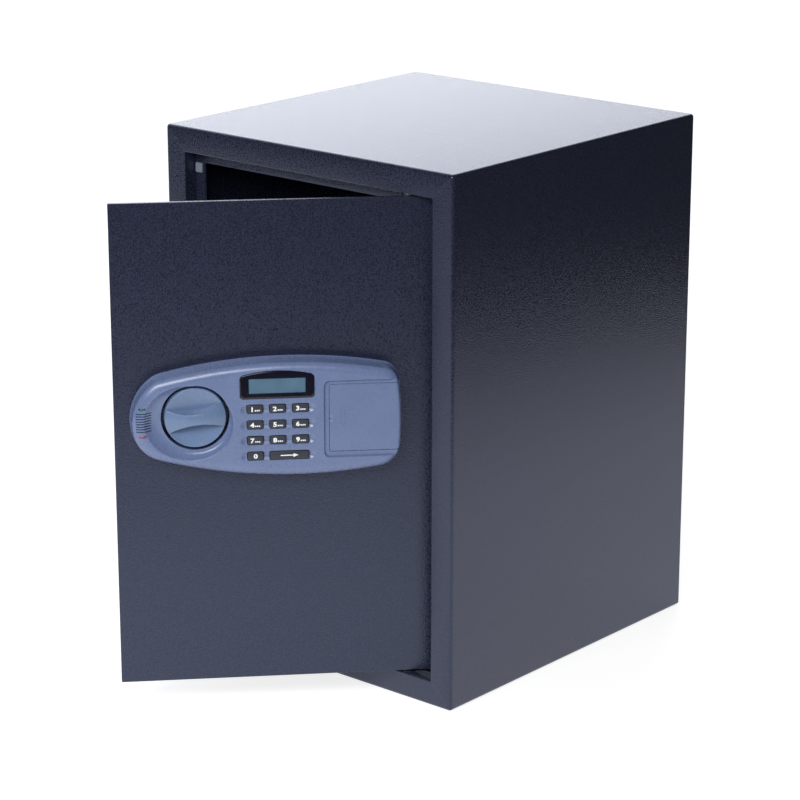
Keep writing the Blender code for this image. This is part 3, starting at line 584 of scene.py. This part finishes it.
def hollow(inside, cove, depth):
    """A hollow with a narrow soft crease at its edge and a round cove down to its floor."""
    into = np.clip(soft_more(inside, np.zeros_like(inside), CREASE) / cove, 0, 1)
    return depth * (1 - (1 - into) ** 2)


def fascia_height(points):
    """Height of the fascia's front above the plane of the cabinet's front."""
    inset = distance_inside(points, fascia_outline(0))
    height = rim_height(inset)
    cx, cz, wide, high = SCOOP
    across, up = points[:, 0] - cx, points[:, 1] - cz + SCOOP_LEAN * (points[:, 0] - cx)
    cove = SCOOP_COVES[0] + (SCOOP_COVES[1] - SCOOP_COVES[0]) * smooth(0.45 + 0.6 * across / wide)
    height = height - hollow((1 - np.hypot(across / wide, up / high)) * high, cove, SCOOP_DEPTH)
    for z in KEY_ROWS:
        height -= hollow(distance_inside(points, trough_outline(z)), TROUGH_HALF, TROUGH_DEPTH)
    recess = soft_less(rim_height(inset), np.full(len(points), LEDGE), 1.0)
    share = smooth(distance_inside(points, rounded_rect(*RECESS, RECESS_CORNER)) / LEDGE_STEP)
    return height * (1 - share) + recess * share


def runs_inside(line, limit, margin=0.3):
    """The stretches of a line that lie inside the limit, as a list of open runs."""
    runs, run = [], []
    for point, depth in zip(line, distance_inside(line, limit)):
        if depth > margin:
            run.append(point)
        elif run:
            runs.append(np.array(run))
            run = []
    if run:
        runs.append(np.array(run))
    return [run for run in runs if len(run) > 1]


def fascia_lines():
    outline = fascia_outline(0)
    lines = [closed(fascia_outline(inset)) for inset in RIM_INSETS]
    for grow in (-CREASE, -CREASE / 2, 0, CREASE / 2, CREASE):
        lines.append(closed(scoop_outline(grow)))
    for z in KEY_ROWS:
        for grow in (-CREASE / 2, 0, CREASE / 2):
            ring = rounded_rect(TROUGH_X[0] - grow, TROUGH_X[1] + grow, z - TROUGH_HALF - grow,
                                z + TROUGH_HALF + grow, TROUGH_HALF + grow - 0.05, steps=10)
            lines.append(closed(divided(ring, 2.0)))
    x0, x1, z0, z1 = RECESS
    for share in (0, 0.2, 0.4, 0.6, 0.8, 1):
        inset = share * LEDGE_STEP
        ring = rounded_rect(x0 + inset, x1, z0 + inset, z1 - inset, RECESS_CORNER - inset)
        lines += runs_inside(closed(divided(ring, 2.0)), outline)
    return lines


def cavity_height(points):
    """The inner face: a wall's thickness under the front, and low where the knob's well stands."""
    height = fascia_height(points) - SHELL
    from_knob = np.hypot(points[:, 0] - KNOB.x, points[:, 1] - KNOB.z)
    return np.where(from_knob < KNOB_R + WELL_GAP + WELL_WALL, WELL_FLOOR, height)


def key_outline(name, grow=0.0):
    low, high = drawn_box(name)
    return rounded_rect(low.x - grow, high.x + grow, low.z - grow, high.z + grow, KEY_CORNER + grow)


def lcd_outline(grow=0.0):
    low, high = drawn_box("lcd_window")
    return arched_rect(low.x - grow, high.x + grow, low.z - grow, high.z - LCD_CROWN + grow,
                       LCD_CROWN, LCD_CORNER + grow)


def led_outline(name, grow=0.0):
    low, high = drawn_box(name)
    return rounded_rect(low.x - grow, high.x + grow, low.z - grow, high.z + grow, LED_CORNER + grow)


def cover_right(z):
    cx, cz, radius = FASCIA_SIDES[0]
    return cx + math.sqrt(radius**2 - (z - cz) ** 2)


def cover_outline(inset=0.0):
    """The battery cover: square at the end of the fascia, where it follows the long curve."""
    low, high = COVER_LOW.z + inset, COVER_HIGH.z - inset
    left = COVER_LOW.x + inset
    outline = rounded_rect(left, left + 2 * COVER_SQUARE, low, high, COVER_CORNER - inset)
    outline = outline[outline[:, 0] < left + COVER_SQUARE]
    curve = np.array([(cover_right(z), z) for z in np.linspace(low, high, 40)])
    return divided(np.concatenate([curve, outline]), 2.0)


def build_fascia():
    outline = fascia_outline(0)
    bm = bmesh.new()
    relief(bm, outline, fascia_height, fascia_lines(), FASCIA_GRID, BASE)
    fascia = solid_object("fascia_moulding", bm, DOOR)
    cavity = bmesh.new()
    inner = fascia_outline(SHELL + 0.4, 24, 8)
    wall = KNOB_R + WELL_GAP + WELL_WALL
    well = ellipse(KNOB.x, KNOB.z, wall, wall)
    relief(cavity, inner, cavity_height, [closed(well)], CAVITY_GRID, BASE + 2)
    holes = bmesh.new()
    bore = KNOB_R + WELL_GAP
    turned(holes, (KNOB.x, BASE + 4, KNOB.z), (0, -1, 0), ((0, bore), (40, bore)), 96)
    for name in KEYS:
        prism(holes, key_outline(name, KEY_GAP), BEFORE_ALL, KEY_HOLE_BACK)
    prism(holes, lcd_outline(LCD_GAP), BEFORE_ALL, KEY_HOLE_BACK)
    for name in ("led_green", "led_red"):
        prism(holes, led_outline(name, LED_GAP), BEFORE_ALL, LED_HOLE_BACK)
    for i in range(GRILLE_COUNT):
        z = GRILLE_Z + i * GRILLE_PITCH
        slot = rounded_rect(*GRILLE_X, z - GRILLE_HALF, z + GRILLE_HALF, GRILLE_HALF - 0.05)
        prism(holes, slot, BEFORE_ALL, GRILLE_BACK)
    seam = COVER_SEAM
    bay = rounded_rect(COVER_LOW.x - seam, BAY_END, COVER_LOW.z - seam, COVER_HIGH.z + seam,
                       COVER_CORNER + seam)
    prism(holes, bay, BEFORE_ALL, COVER_HIGH.y + seam)
    cut(fascia, [cavity, holes], DOOR)
    dress(fascia, "door", MATERIALS["fascia_plastic"], "fascia_plastic", "fascia")


def build_battery_cover():
    """The cover lies flush in its recess and turns down over the fascia's end."""
    outline = cover_outline()

    def height(points):
        edge = quarter(distance_inside(points, outline) / COVER_EDGE)
        from_thumb = np.hypot(points[:, 0] - COVER_LOW.x, points[:, 1] - THUMB_Z) / THUMB_R
        thumb = THUMB_DEPTH * np.clip(1 - from_thumb**2, 0, 1) ** 0.5
        return fascia_height(points) - COVER_EDGE * (1 - edge) - thumb

    lines = [closed(cover_outline(inset)) for inset in (0.06, 0.2, COVER_EDGE)]
    for inset in RIM_INSETS[1:8]:
        lines += runs_inside(fascia_outline(inset, 200), outline, 0.5)
    for radius in (THUMB_R, THUMB_R * 0.9):
        lines += runs_inside(closed(ellipse(COVER_LOW.x, THUMB_Z, radius, radius)), outline, 0.1)
    bm = bmesh.new()
    relief(bm, outline, height, lines, COVER_GRID, COVER_HIGH.y)
    cover = solid_object("battery_cover_moulding", bm, DOOR)
    inside = bmesh.new()
    x0, z0, z1 = COVER_LOW.x - 5, COVER_LOW.z - 3, COVER_HIGH.z + 3
    curve = [(cover_right(z) - COVER_END_WALL, z) for z in np.linspace(z0, z1, 30)]
    prism(inside, [(x0, z0), *curve, (x0, z1)], CELL_FRONT, 5)
    cut(cover, [inside], DOOR)
    dots = bmesh.new()
    for x in DOTS_X:
        for z in np.linspace(*DOTS_Z, DOTS_COUNT):
            turned(dots, (x, -LEDGE + 0.3, z), (0, -1, 0), DOT, 12)
    raised = solid_object("battery_cover_grips", dots, DOOR)
    dress(cover, "battery_cover", MATERIALS["fascia_plastic"], "fascia_plastic", "battery_cover")
    dress(raised, "battery_cover", MATERIALS["fascia_plastic"], "fascia_plastic")


# ---- Knob

RIM_R, KNOB_RIM, KNOB_TOP, KNOB_BACK = 27.3, 15.8, 23.8, 9.0  # the disc's edge, and heights
HUB_R, SIDE_LEAN = 8.0, 0.1
DISH_FLOOR, DOME_DROP, EDGE_ROUND = 12.0, 7.4, 0.7
GRIP_WAIST, GRIP_END, GRIP_LENGTH, GRIP_TILT = 4.9, 10.7, 24.0, math.radians(6.2)
GRIP_FLANK = ((-0.6, 0.0), (-0.25, 0.012), (0.0, 0.06), (0.45, 0.93), (0.75, 0.985), (1.2, 1.0))
KNOB_GRID = 0.7


def knob_height(points):
    """A disc with a raised edge and a dished face, and a waisted, domed grip across the dish."""
    x, z = points[:, 0] - KNOB.x, points[:, 1] - KNOB.z
    along = x * math.cos(GRIP_TILT) + z * math.sin(GRIP_TILT)
    across = np.abs(z * math.cos(GRIP_TILT) - x * math.sin(GRIP_TILT))
    out = np.hypot(x, z)
    dome = KNOB_TOP - DOME_DROP * (out / RIM_R) ** 2
    dish = DISH_FLOOR + (KNOB_RIM - DISH_FLOOR) * np.clip(out / (RIM_R - EDGE_ROUND), 0, 1) ** 2
    half = GRIP_WAIST + (GRIP_END - GRIP_WAIST) * (along / GRIP_LENGTH) ** 2
    share = np.interp(across - half, *zip(*GRIP_FLANK))
    height = np.maximum(dome, dish) * (1 - share) + dish * share
    height -= EDGE_ROUND * (1 - quarter((RIM_R - out) / EDGE_ROUND))
    return np.where(out > RIM_R, KNOB_RIM - EDGE_ROUND - (out - RIM_R) / SIDE_LEAN, height)


def grip_lines(offset):
    """The grip's two long edges, moved outwards by the offset."""
    lines = []
    for side in (1, -1):
        u = np.linspace(-KNOB_R, KNOB_R, 90)
        v = side * (GRIP_WAIST + (GRIP_END - GRIP_WAIST) * (u / GRIP_LENGTH) ** 2 + offset)
        x = KNOB.x + u * math.cos(GRIP_TILT) - v * math.sin(GRIP_TILT)
        z = KNOB.z + u * math.sin(GRIP_TILT) + v * math.cos(GRIP_TILT)
        lines += runs_inside(np.stack([x, z], 1), ellipse(KNOB.x, KNOB.z, RIM_R, RIM_R), 0.02)
    return lines


def build_knob():
    foot = RIM_R + 0.5
    outline = ellipse(KNOB.x, KNOB.z, foot, foot, 160)
    rings = [closed(ellipse(KNOB.x, KNOB.z, RIM_R - inset, RIM_R - inset, 160))
             for inset in (3.0, EDGE_ROUND, 0.4, 0.2, 0.05, 0.0)]
    lines = [line for offset, share in GRIP_FLANK for line in grip_lines(offset)]
    bm = bmesh.new()
    relief(bm, outline, knob_height, rings + lines, KNOB_GRID, -KNOB_BACK)
    turned(bm, (KNOB.x, -KNOB_BACK - 0.5, KNOB.z), (0, 1, 0), ((0, HUB_R), (KNOB_BACK - 2, HUB_R)))
    knob = solid_object("knob_moulding", bm, DOOR, 40.0)
    dress(knob, "knob_shaft", MATERIALS["knob_plastic"], "knob_plastic", "knob")


# ---- Keys, display and lamps

KEY_SECTION = ((0.0, 0.0), (0.0, 3.7), (0.10, 4.15), (0.32, 4.5), (0.65, 4.7), (1.1, 4.8))  # inset, rise
DIGIT_HIGH, DIGIT_WIDEN, DIGIT_BOLD, DIGIT_RAISE = 4.4, 1.2, 0.022, 0.04
DIGIT_LEFT = 2.6  # a digit's centre is this far left of its key's
BAR_X, BAR_Z, BAR_PITCH, BAR_HALF = 2.0, -1.1, 1.65, (0.6, 0.62)
WINDOW, WINDOW_CORNER, WINDOW_SINK, BEZEL_ROUND = (-30.7, 19.8, 303.3, 317.3), 0.8, 0.8, 0.9
LAMP_PROUD, LAMP_EDGE, LAMP_DROP = 0.35, 0.3, 0.25
BEZEL_GRID, LAMP_GRID = 2.0, 0.6
BUZZER_R, BUZZER_FRONT, BUZZER_BACK, BUZZER_PORT = 6.0, -11.0, -6.4, 1.0
ARROW = ((-8.0, 0.5), (3.5, 0.5), (3.5, 1.7), (8.0, 0.0), (3.5, -1.7), (3.5, -0.5), (-8.0, -0.5))


def legend(name, key, bm):
    """Gives a printed mark its ink and lets it ride on its key."""
    piece = solid_object(name, bm, DOOR)
    dress(piece, key, MATERIALS["legend_ink"], "key_plastic")


def digit_mesh(digit, x, z, y):
    """The digit as a thin bold solid, centred on x and z with its back at y."""
    curve = bpy.data.curves.new("digit", "FONT")
    curve.body = digit
    curve.size = 1.0
    curve.offset = DIGIT_BOLD
    curve.bevel_depth = DIGIT_BOLD
    curve.extrude = 0.1
    curve.resolution_u = 6
    obj = bpy.data.objects.new("digit", curve)
    bpy.context.scene.collection.objects.link(obj)
    mesh = bpy.data.meshes.new_from_object(obj.evaluated_get(bpy.context.evaluated_depsgraph_get()))
    bm = bmesh.new()
    bm.from_mesh(mesh)
    bpy.data.objects.remove(obj, do_unlink=True)
    points = np.array([vertex.co for vertex in bm.verts])
    low, high = points.min(0), points.max(0)
    centre, size = (low + high) / 2, high - low
    scale = DIGIT_HIGH / size[1]
    for vertex in bm.verts:
        across, up, out = Vector(vertex.co) - Vector(centre)
        vertex.co = (x + across * scale * DIGIT_WIDEN, y - out * 2 * DIGIT_RAISE / size[2], z + up * scale)
    return bm


def build_keys():
    for name in KEYS:
        low, high = drawn_box(name)
        at = middle(name)
        bm = bmesh.new()
        rings = []
        for inset, rise in KEY_SECTION:
            ring = rounded_rect(low.x + inset, high.x - inset, low.z + inset, high.z - inset,
                                max(KEY_CORNER - inset, 0.4), steps=5)
            rings.append(at_depth(ring, high.y - rise))
        loft(bm, rings)
        key = solid_object(f"{name}_cap", bm, DOOR, 60.0)
        dress(key, name, MATERIALS["key_plastic"], "key_plastic", name)
        face = high.y - KEY_SECTION[-1][1]
        if name == "key_start":
            marks = bmesh.new()
            arrow = [(at.x + x, at.z + z) for x, z in ARROW]
            prism(marks, arrow, face - DIGIT_RAISE, face + DIGIT_RAISE)
            legend("key_start_arrow", name, marks)
            continue
        digit = name[-1]
        shift = 0.0 if digit == "0" else DIGIT_LEFT
        legend(f"{name}_digit", name, digit_mesh(digit, at.x - shift, at.z, face))
        if digit == "0":
            continue
        marks = bmesh.new()
        for i in range(3):
            x, z = at.x + BAR_X + (i - 1) * BAR_PITCH, at.z + BAR_Z
            box(marks, x - BAR_HALF[0], x + BAR_HALF[0], face - DIGIT_RAISE, face + DIGIT_RAISE,
                z - BAR_HALF[1], z + BAR_HALF[1])
        legend(f"{name}_marks", name, marks)


def build_display():
    low, high = drawn_box("lcd_window")
    outline = lcd_outline()
    face = -low.y

    def height(points):
        return face - BEZEL_ROUND * (1 - quarter(distance_inside(points, outline) / BEZEL_ROUND))

    rings = [closed(lcd_outline(-inset)) for inset in (0.06, 0.2, 0.45, BEZEL_ROUND)]
    bm = bmesh.new()
    relief(bm, outline, height, rings, BEZEL_GRID, high.y)
    bezel = solid_object("display_bezel", bm, DOOR, 45.0)
    hole = bmesh.new()
    prism(hole, rounded_rect(*WINDOW, WINDOW_CORNER), BEFORE_ALL, 0)
    cut(bezel, [hole], DOOR, 45.0)
    dress(bezel, "door", MATERIALS["bezel_plastic"], "bezel_plastic", "lcd_window")
    x0, x1, z0, z1 = WINDOW
    bm = bmesh.new()
    pane = rounded_rect(x0 + 0.1, x1 - 0.1, z0 + 0.1, z1 - 0.1, WINDOW_CORNER - 0.1)
    loft(bm, [at_depth(pane, drawn_box("lcd_panel")[1].y), at_depth(pane, WINDOW_SINK - face)])
    glass = solid_object("display_pane", bm, DOOR)
    bevel(glass, 0.1)
    dress(glass, "door", MATERIALS["display"], "display", "lcd_panel")


def build_lamps():
    """Two flat lenses that follow the fascia's rounding and stand a hair proud of it."""
    for name in ("led_green", "led_red"):
        outline = divided(led_outline(name), 0.5)

        def height(points):
            rise = quarter(distance_inside(points, outline) / LAMP_EDGE)
            return fascia_height(points) + LAMP_PROUD - LAMP_DROP * (1 - rise)

        bm = bmesh.new()
        edge = closed(led_outline(name, -LAMP_EDGE))
        relief(bm, outline, height, [edge], LAMP_GRID, drawn_box(name)[1].y)
        lamp = solid_object(f"{name}_lens", bm, DOOR)
        dress(lamp, "door", MATERIALS[name], name, name)


def build_buzzer():
    """A sounder can behind the grille, with a round port in its face."""
    at = middle("buzzer")
    bm = bmesh.new()
    deep = BUZZER_BACK - BUZZER_FRONT
    turned(bm, (at.x, BUZZER_BACK, at.z), (0, -1, 0), (
        (0, BUZZER_R - 0.3), (0.3, BUZZER_R), (deep - 0.5, BUZZER_R), (deep, BUZZER_R - 0.5),
        (deep, BUZZER_PORT), (deep - 1.5, BUZZER_PORT)), 64)
    can = solid_object("buzzer_can", bm, DOOR)
    dress(can, "door", MATERIALS["black_plastic"], "black_plastic", "buzzer")


# ---- Cabinet

SHEET, BEND = 2.0, 3.0  # the steel's thickness and its outer bend radius
STRIP, RETURN, LIP = 24.0, 15.0, 11.0  # front strip, its turn back beside the door, and the door stop
WIDTH = (SHELL_HIGH.x - SHELL_LOW.x) / MM
HEIGHT = (SHELL_HIGH.z - SHELL_LOW.z) / MM
DEPTH = (SHELL_HIGH.y - SHELL_LOW.y) / MM
FOLD, CHAMFER = 1.2, 0.6
WEAR_AND_HIGHLIGHT_RINGS = (1, 3)  # rings this far from the edges keep the paler edge, worn paint and painted highlight, to a narrow line
LIP_CUT_X, LIP_CUT_GAP, PIN_HOLE = 104.0, 0.15, 2.35  # where the lip is cut away for the hinge
ANCHOR_X, ANCHOR_Y, ANCHOR_R = 100.0, 200.0, 6.0
WELD_WIDTH, WELD_RISE = 2.2, 0.015
WELD_SECTION = ((-1, 0.05), (-0.6, -0.6), (0, -1), (0.6, -0.6), (1, 0.05))  # in half widths, and rises
MAT_CORNER, MAT_EDGE, MAT_WAVE, MAT_HOLE_R, MAT_GRID = 4.0, 0.8, 0.12, 9.0, 8.0
FLAT = SHUT @ Matrix.Rotation(-math.pi / 2, 4, "X")  # lays a relief down, with its front upwards


def frame_ring(inset, y):
    """The cabinet's outline, drawn in by the inset, at depth y."""
    radius = max(BEND - inset, 0.8)
    ring = rounded_rect(-WIDTH / 2 + inset, WIDTH / 2 - inset, inset, HEIGHT - inset, radius, steps=6)
    return at_depth(ring, y)


def bend_points(radius, steps=8):
    """A quarter bend from the side's plane, inset 0, round to the front's, y 0."""
    turn = [math.pi / 2 * i / steps for i in range(steps + 1)]
    return [(radius * (1 - math.cos(angle)), radius * (1 - math.sin(angle))) for angle in turn]


def build_cabinet():
    """Sheet folded round as wrap, front strip, return and door-stop lip: one section, swept."""
    flange, lip_edge = STRIP - SHEET, STRIP + LIP
    near, far = WEAR_AND_HIGHLIGHT_RINGS
    inner = [(STRIP - x, y) for x, y in bend_points(FOLD)][::-1]
    section = [
        (0, DEPTH), (0, DEPTH - near), (0, DEPTH - far), (0, BEND + far),
        *bend_points(BEND), *inner, (STRIP, RETURN),
        (lip_edge, RETURN), (lip_edge, RETURN + SHEET), (flange, RETURN + SHEET),
        (flange, SHEET + CHAMFER), (flange - CHAMFER, SHEET), (SHEET + FOLD, SHEET), (SHEET, SHEET + FOLD),
        (SHEET, DEPTH),
    ]
    bm = bmesh.new()
    loft(bm, [frame_ring(inset, y) for inset, y in section], capped=False)
    skin = solid_object("cabinet_skin", bm, SHUT, 40.0)
    cuts = bmesh.new()
    inset = STRIP + LIP_CUT_GAP
    box(cuts, LIP_CUT_X, WIDTH / 2 - inset, RETURN - LIP_CUT_GAP, RETURN + SHEET + 3,
        inset, HEIGHT - inset)
    pivot = SHUT.inverted() @ HINGE
    for z in (STRIP - SHEET - 4, HEIGHT - STRIP - 4):
        turned(cuts, (pivot.x, pivot.y, z), (0, 0, 1), ((0, PIN_HOLE), (10, PIN_HOLE)))
    for side in (-1, 1):
        turned(cuts, (side * ANCHOR_X, ANCHOR_Y, -3), (0, 0, 1), ((0, ANCHOR_R), (10, ANCHOR_R)))
    cut(skin, [cuts], SHUT, 40.0)
    dress(skin, "cabinet", MATERIALS["powder_coat"], "powder_coat", "cabinet_shell")


def build_welds():
    """Dressed weld beads along the mitres at the corners of the front strip."""
    bm = bmesh.new()
    for side in (-1, 1):
        for z, up in ((0, 1), (HEIGHT, -1)):
            start = Vector((side * (WIDTH / 2 - 4), 0, z + up * 4))
            end = Vector((side * (WIDTH / 2 - STRIP + 1.5), 0, z + up * (STRIP - 1.5)))
            along = (end - start).normalized()
            across = along.cross(Vector((0, 1, 0)))
            rings = []
            for share in (0.0, 0.04, 0.15, 0.35, 0.6, 0.85, 0.96, 1.0):
                centre = start.lerp(end, share)
                swell = math.sin(math.pi * min(max(share, 0.02), 0.98)) ** 0.5
                half = WELD_WIDTH * (0.15 + 0.85 * swell) / 2
                rings.append([centre + across * a * half + Vector((0, b * WELD_RISE, 0))
                              for a, b in WELD_SECTION])
            loft(bm, rings)
    welds = solid_object("mitre_welds", bm, SHUT, 60.0)
    dress(welds, "cabinet", MATERIALS["powder_coat"], "powder_coat")


def build_floor_mat():
    """A die-cut mat of needle felt, its edges a little crushed and its face not quite flat."""
    low, high = drawn_box("floor_mat", SHUT)
    outline = divided(rounded_rect(low.x, high.x, low.y, high.y, MAT_CORNER), 4.0)

    def height(points):
        x, y = points.T
        wave = MAT_WAVE * (2 + np.sin(x / 23 + y / 61) + np.sin(y / 31 - x / 47))
        return high.z - wave - MAT_EDGE * (1 - quarter(distance_inside(points, outline) / MAT_EDGE))

    rings = [closed(rounded_rect(low.x + inset, high.x - inset, low.y + inset, high.y - inset,
                                 MAT_CORNER - inset)) for inset in (0.2, MAT_EDGE)]
    bm = bmesh.new()
    relief(bm, outline, height, rings, MAT_GRID, -low.z)
    mat = solid_object("floor_mat_felt", bm, FLAT)
    cuts = bmesh.new()
    for side in (-1, 1):
        turned(cuts, (side * ANCHOR_X, ANCHOR_Y, -3), (0, 0, 1), ((0, MAT_HOLE_R), (20, MAT_HOLE_R)))
    cut(mat, [cuts], SHUT)
    dress(mat, "cabinet", MATERIALS["felt"], "felt", "floor_mat")


# ---- CAD nodes that stay

CAD_BEVEL = 0.2  # of a CAD node that isn't named below
CAD_BEVELS = {
    "door_panel": 0.6, "back_panel": 0.4, "shelf": 0.3, "shelf_rail_left": 0.3, "shelf_rail_right": 0.3,
    "inner_cover": 0.5, "reset_button": 0.4, "lock_plug": 0.15, "hinge_bracket_upper": 0.3,
    "hinge_bracket_lower": 0.3, "bump_stop": 0.4,
}
NO_BEVEL = ("plunger_spring", "solenoid_lead", "solenoid_coil")
WELD_DISTANCE = 1e-6  # metres: joins a CAD mesh's loose triangles, so that its real edges are found


def dress_cad_nodes():
    """Every CAD node that stays takes the finish of its slot in the record."""
    for part in frame["record"]["subparts"]:
        obj = NODES[part["node"]]
        slot = part["material_slot"]
        obj.data.materials.clear()
        obj.data.materials.append(MATERIALS[slot])


def soften_cad_nodes():
    """A small round along the sharp edges of each CAD node."""
    for name, obj in NODES.items():
        if name not in NO_BEVEL:
            weld = obj.modifiers.new("weld", "WELD")
            weld.merge_threshold = WELD_DISTANCE
            bevel(obj, CAD_BEVELS.get(name, CAD_BEVEL))


# ---- Camera, light and floor

CAMERA_AT, CAMERA_TURN, LENS = (1.68260, -2.00897, 1.01974), (73.061, 0, 40.607), 126.33
CAMERA_FAR = 50
KEY_AT, KEY_AIM, KEY_WIDE, KEY_HIGH, KEY_POWER = (0.52, -1.46, 1.12), (-0.05, -0.3, 0.28), 1.2, 0.6, 23.5
BACKDROP = (-0.87, 0.50, 0.0)  # the way to the middle of the bright backdrop
BACKDROP_SPREAD, HORIZON, OVERHEAD_SPREAD = (0.40, 0.99), (-0.12, 0.0), (0.55, 0.95)
BACKDROP_LIGHT, OVERHEAD_LIGHT, AMBIENT, SEEN_WHITE = 2.25, 0.05, 0.052, 1.05
SKY_TINT = (0.93, 0.96, 1.04)
FLOOR_AT, FLOOR_R, FLOOR_EDGE = (-0.60, 0.12), 1.66, 0.002
FLOOR_BACK, FLOOR_SIDE, FLOOR_TOP = -0.004, -0.0005, -0.0002  # heights of the floor's own rings
FLOOR_GREY, FLOOR_GLOW, FLOOR_ROUGHNESS = 0.42, 0.80, 0.6


def add_camera():
    camera = bpy.data.objects.new("camera", bpy.data.cameras.new("camera"))
    camera.location = CAMERA_AT
    camera.rotation_euler = [math.radians(angle) for angle in CAMERA_TURN]
    camera.data.lens = LENS
    camera.data.clip_end = CAMERA_FAR
    bpy.context.scene.collection.objects.link(camera)
    bpy.context.scene.camera = camera


def add_key_light():
    """A wide softbox above the camera's left shoulder."""
    light = bpy.data.lights.new("key_light", "AREA")
    light.shape = "RECTANGLE"
    light.size, light.size_y = KEY_WIDE, KEY_HIGH
    light.energy = KEY_POWER
    obj = bpy.data.objects.new("key_light", light)
    obj.location = KEY_AT
    obj.rotation_euler = (Vector(KEY_AIM) - Vector(KEY_AT)).to_track_quat("-Z", "Y").to_euler()
    bpy.context.scene.collection.objects.link(obj)


def add_world():
    """White to the eye. For light it is bright behind the safe and dim in front and overhead."""
    world = bpy.data.worlds.new("studio")
    world.use_nodes = True
    bpy.context.scene.world = world
    nodes, links = world.node_tree.nodes, world.node_tree.links
    nodes.clear()
    way = nodes.new("ShaderNodeTexCoord").outputs["Generated"]

    def facing(direction, spread_over, strength):
        """From 0 to the strength, as a ray's way comes round to the direction."""
        dot = nodes.new("ShaderNodeVectorMath")
        dot.operation = "DOT_PRODUCT"
        dot.inputs[1].default_value = direction
        links.new(way, dot.inputs[0])
        spread = nodes.new("ShaderNodeMapRange")
        spread.interpolation_type = "SMOOTHSTEP"
        links.new(dot.outputs["Value"], spread.inputs["Value"])
        low, high = spread_over
        for name, value in (("From Min", low), ("From Max", high), ("To Min", 0.0), ("To Max", strength)):
            spread.inputs[name].default_value = value
        return spread.outputs["Result"]

    def combine(operation, first, second):
        node = nodes.new("ShaderNodeMath")
        node.operation = operation
        for socket, value in zip(node.inputs, (first, second)):
            if isinstance(value, float):
                socket.default_value = value
            else:
                links.new(value, socket)
        return node.outputs[0]

    behind = facing(BACKDROP, BACKDROP_SPREAD, BACKDROP_LIGHT)
    above_floor = facing((0, 0, 1), HORIZON, 1.0)
    overhead = facing((0, 0, 1), OVERHEAD_SPREAD, OVERHEAD_LIGHT)
    light = combine("ADD", combine("MULTIPLY", behind, above_floor), overhead)
    light = combine("ADD", light, AMBIENT)
    seen = nodes.new("ShaderNodeLightPath").outputs["Is Camera Ray"]
    choose = nodes.new("ShaderNodeMix")
    links.new(seen, choose.inputs[0])
    links.new(light, choose.inputs[2])
    choose.inputs[3].default_value = SEEN_WHITE
    background = nodes.new("ShaderNodeBackground")
    links.new(choose.outputs[0], background.inputs["Strength"])
    tint = nodes.new("ShaderNodeMix")
    tint.data_type = "RGBA"
    links.new(seen, tint.inputs[0])
    tint.inputs[6].default_value = (*SKY_TINT, 1.0)
    tint.inputs[7].default_value = (1.0, 1.0, 1.0, 1.0)
    links.new(tint.outputs[2], background.inputs["Color"])
    out = nodes.new("ShaderNodeOutputWorld")
    links.new(background.outputs[0], out.inputs["Surface"])


def add_floor():
    """A pale disc. Its front edge sets where the paint's reflections turn from light to dark."""
    bm = bmesh.new()
    rings = []
    for inset, z in ((0.0, FLOOR_BACK), (0.0, FLOOR_SIDE), (FLOOR_EDGE, FLOOR_TOP)):
        outline = ellipse(*FLOOR_AT, FLOOR_R - inset, FLOOR_R - inset, 128)
        rings.append([(x, y, z) for x, y in outline])
    loft(bm, rings)
    floor = solid_object("floor", bm, Matrix.Identity(4))
    shader = Shader("floor", [FLOOR_GREY] * 3, FLOOR_ROUGHNESS, Emission_Color=(1.0, 1.0, 1.0, 1.0),
                    Emission_Strength=FLOOR_GLOW)
    floor.data.materials.append(shader.finish())


def main():
    bpy.context.scene.view_settings.view_transform = "Standard"
    add_camera()
    add_world()
    add_floor()
    add_key_light()
    dress_cad_nodes()
    soften_cad_nodes()
    build_cabinet()
    build_welds()
    build_floor_mat()
    build_fascia()
    build_battery_cover()
    build_knob()
    build_keys()
    build_display()
    build_lamps()
    build_buzzer()


main()
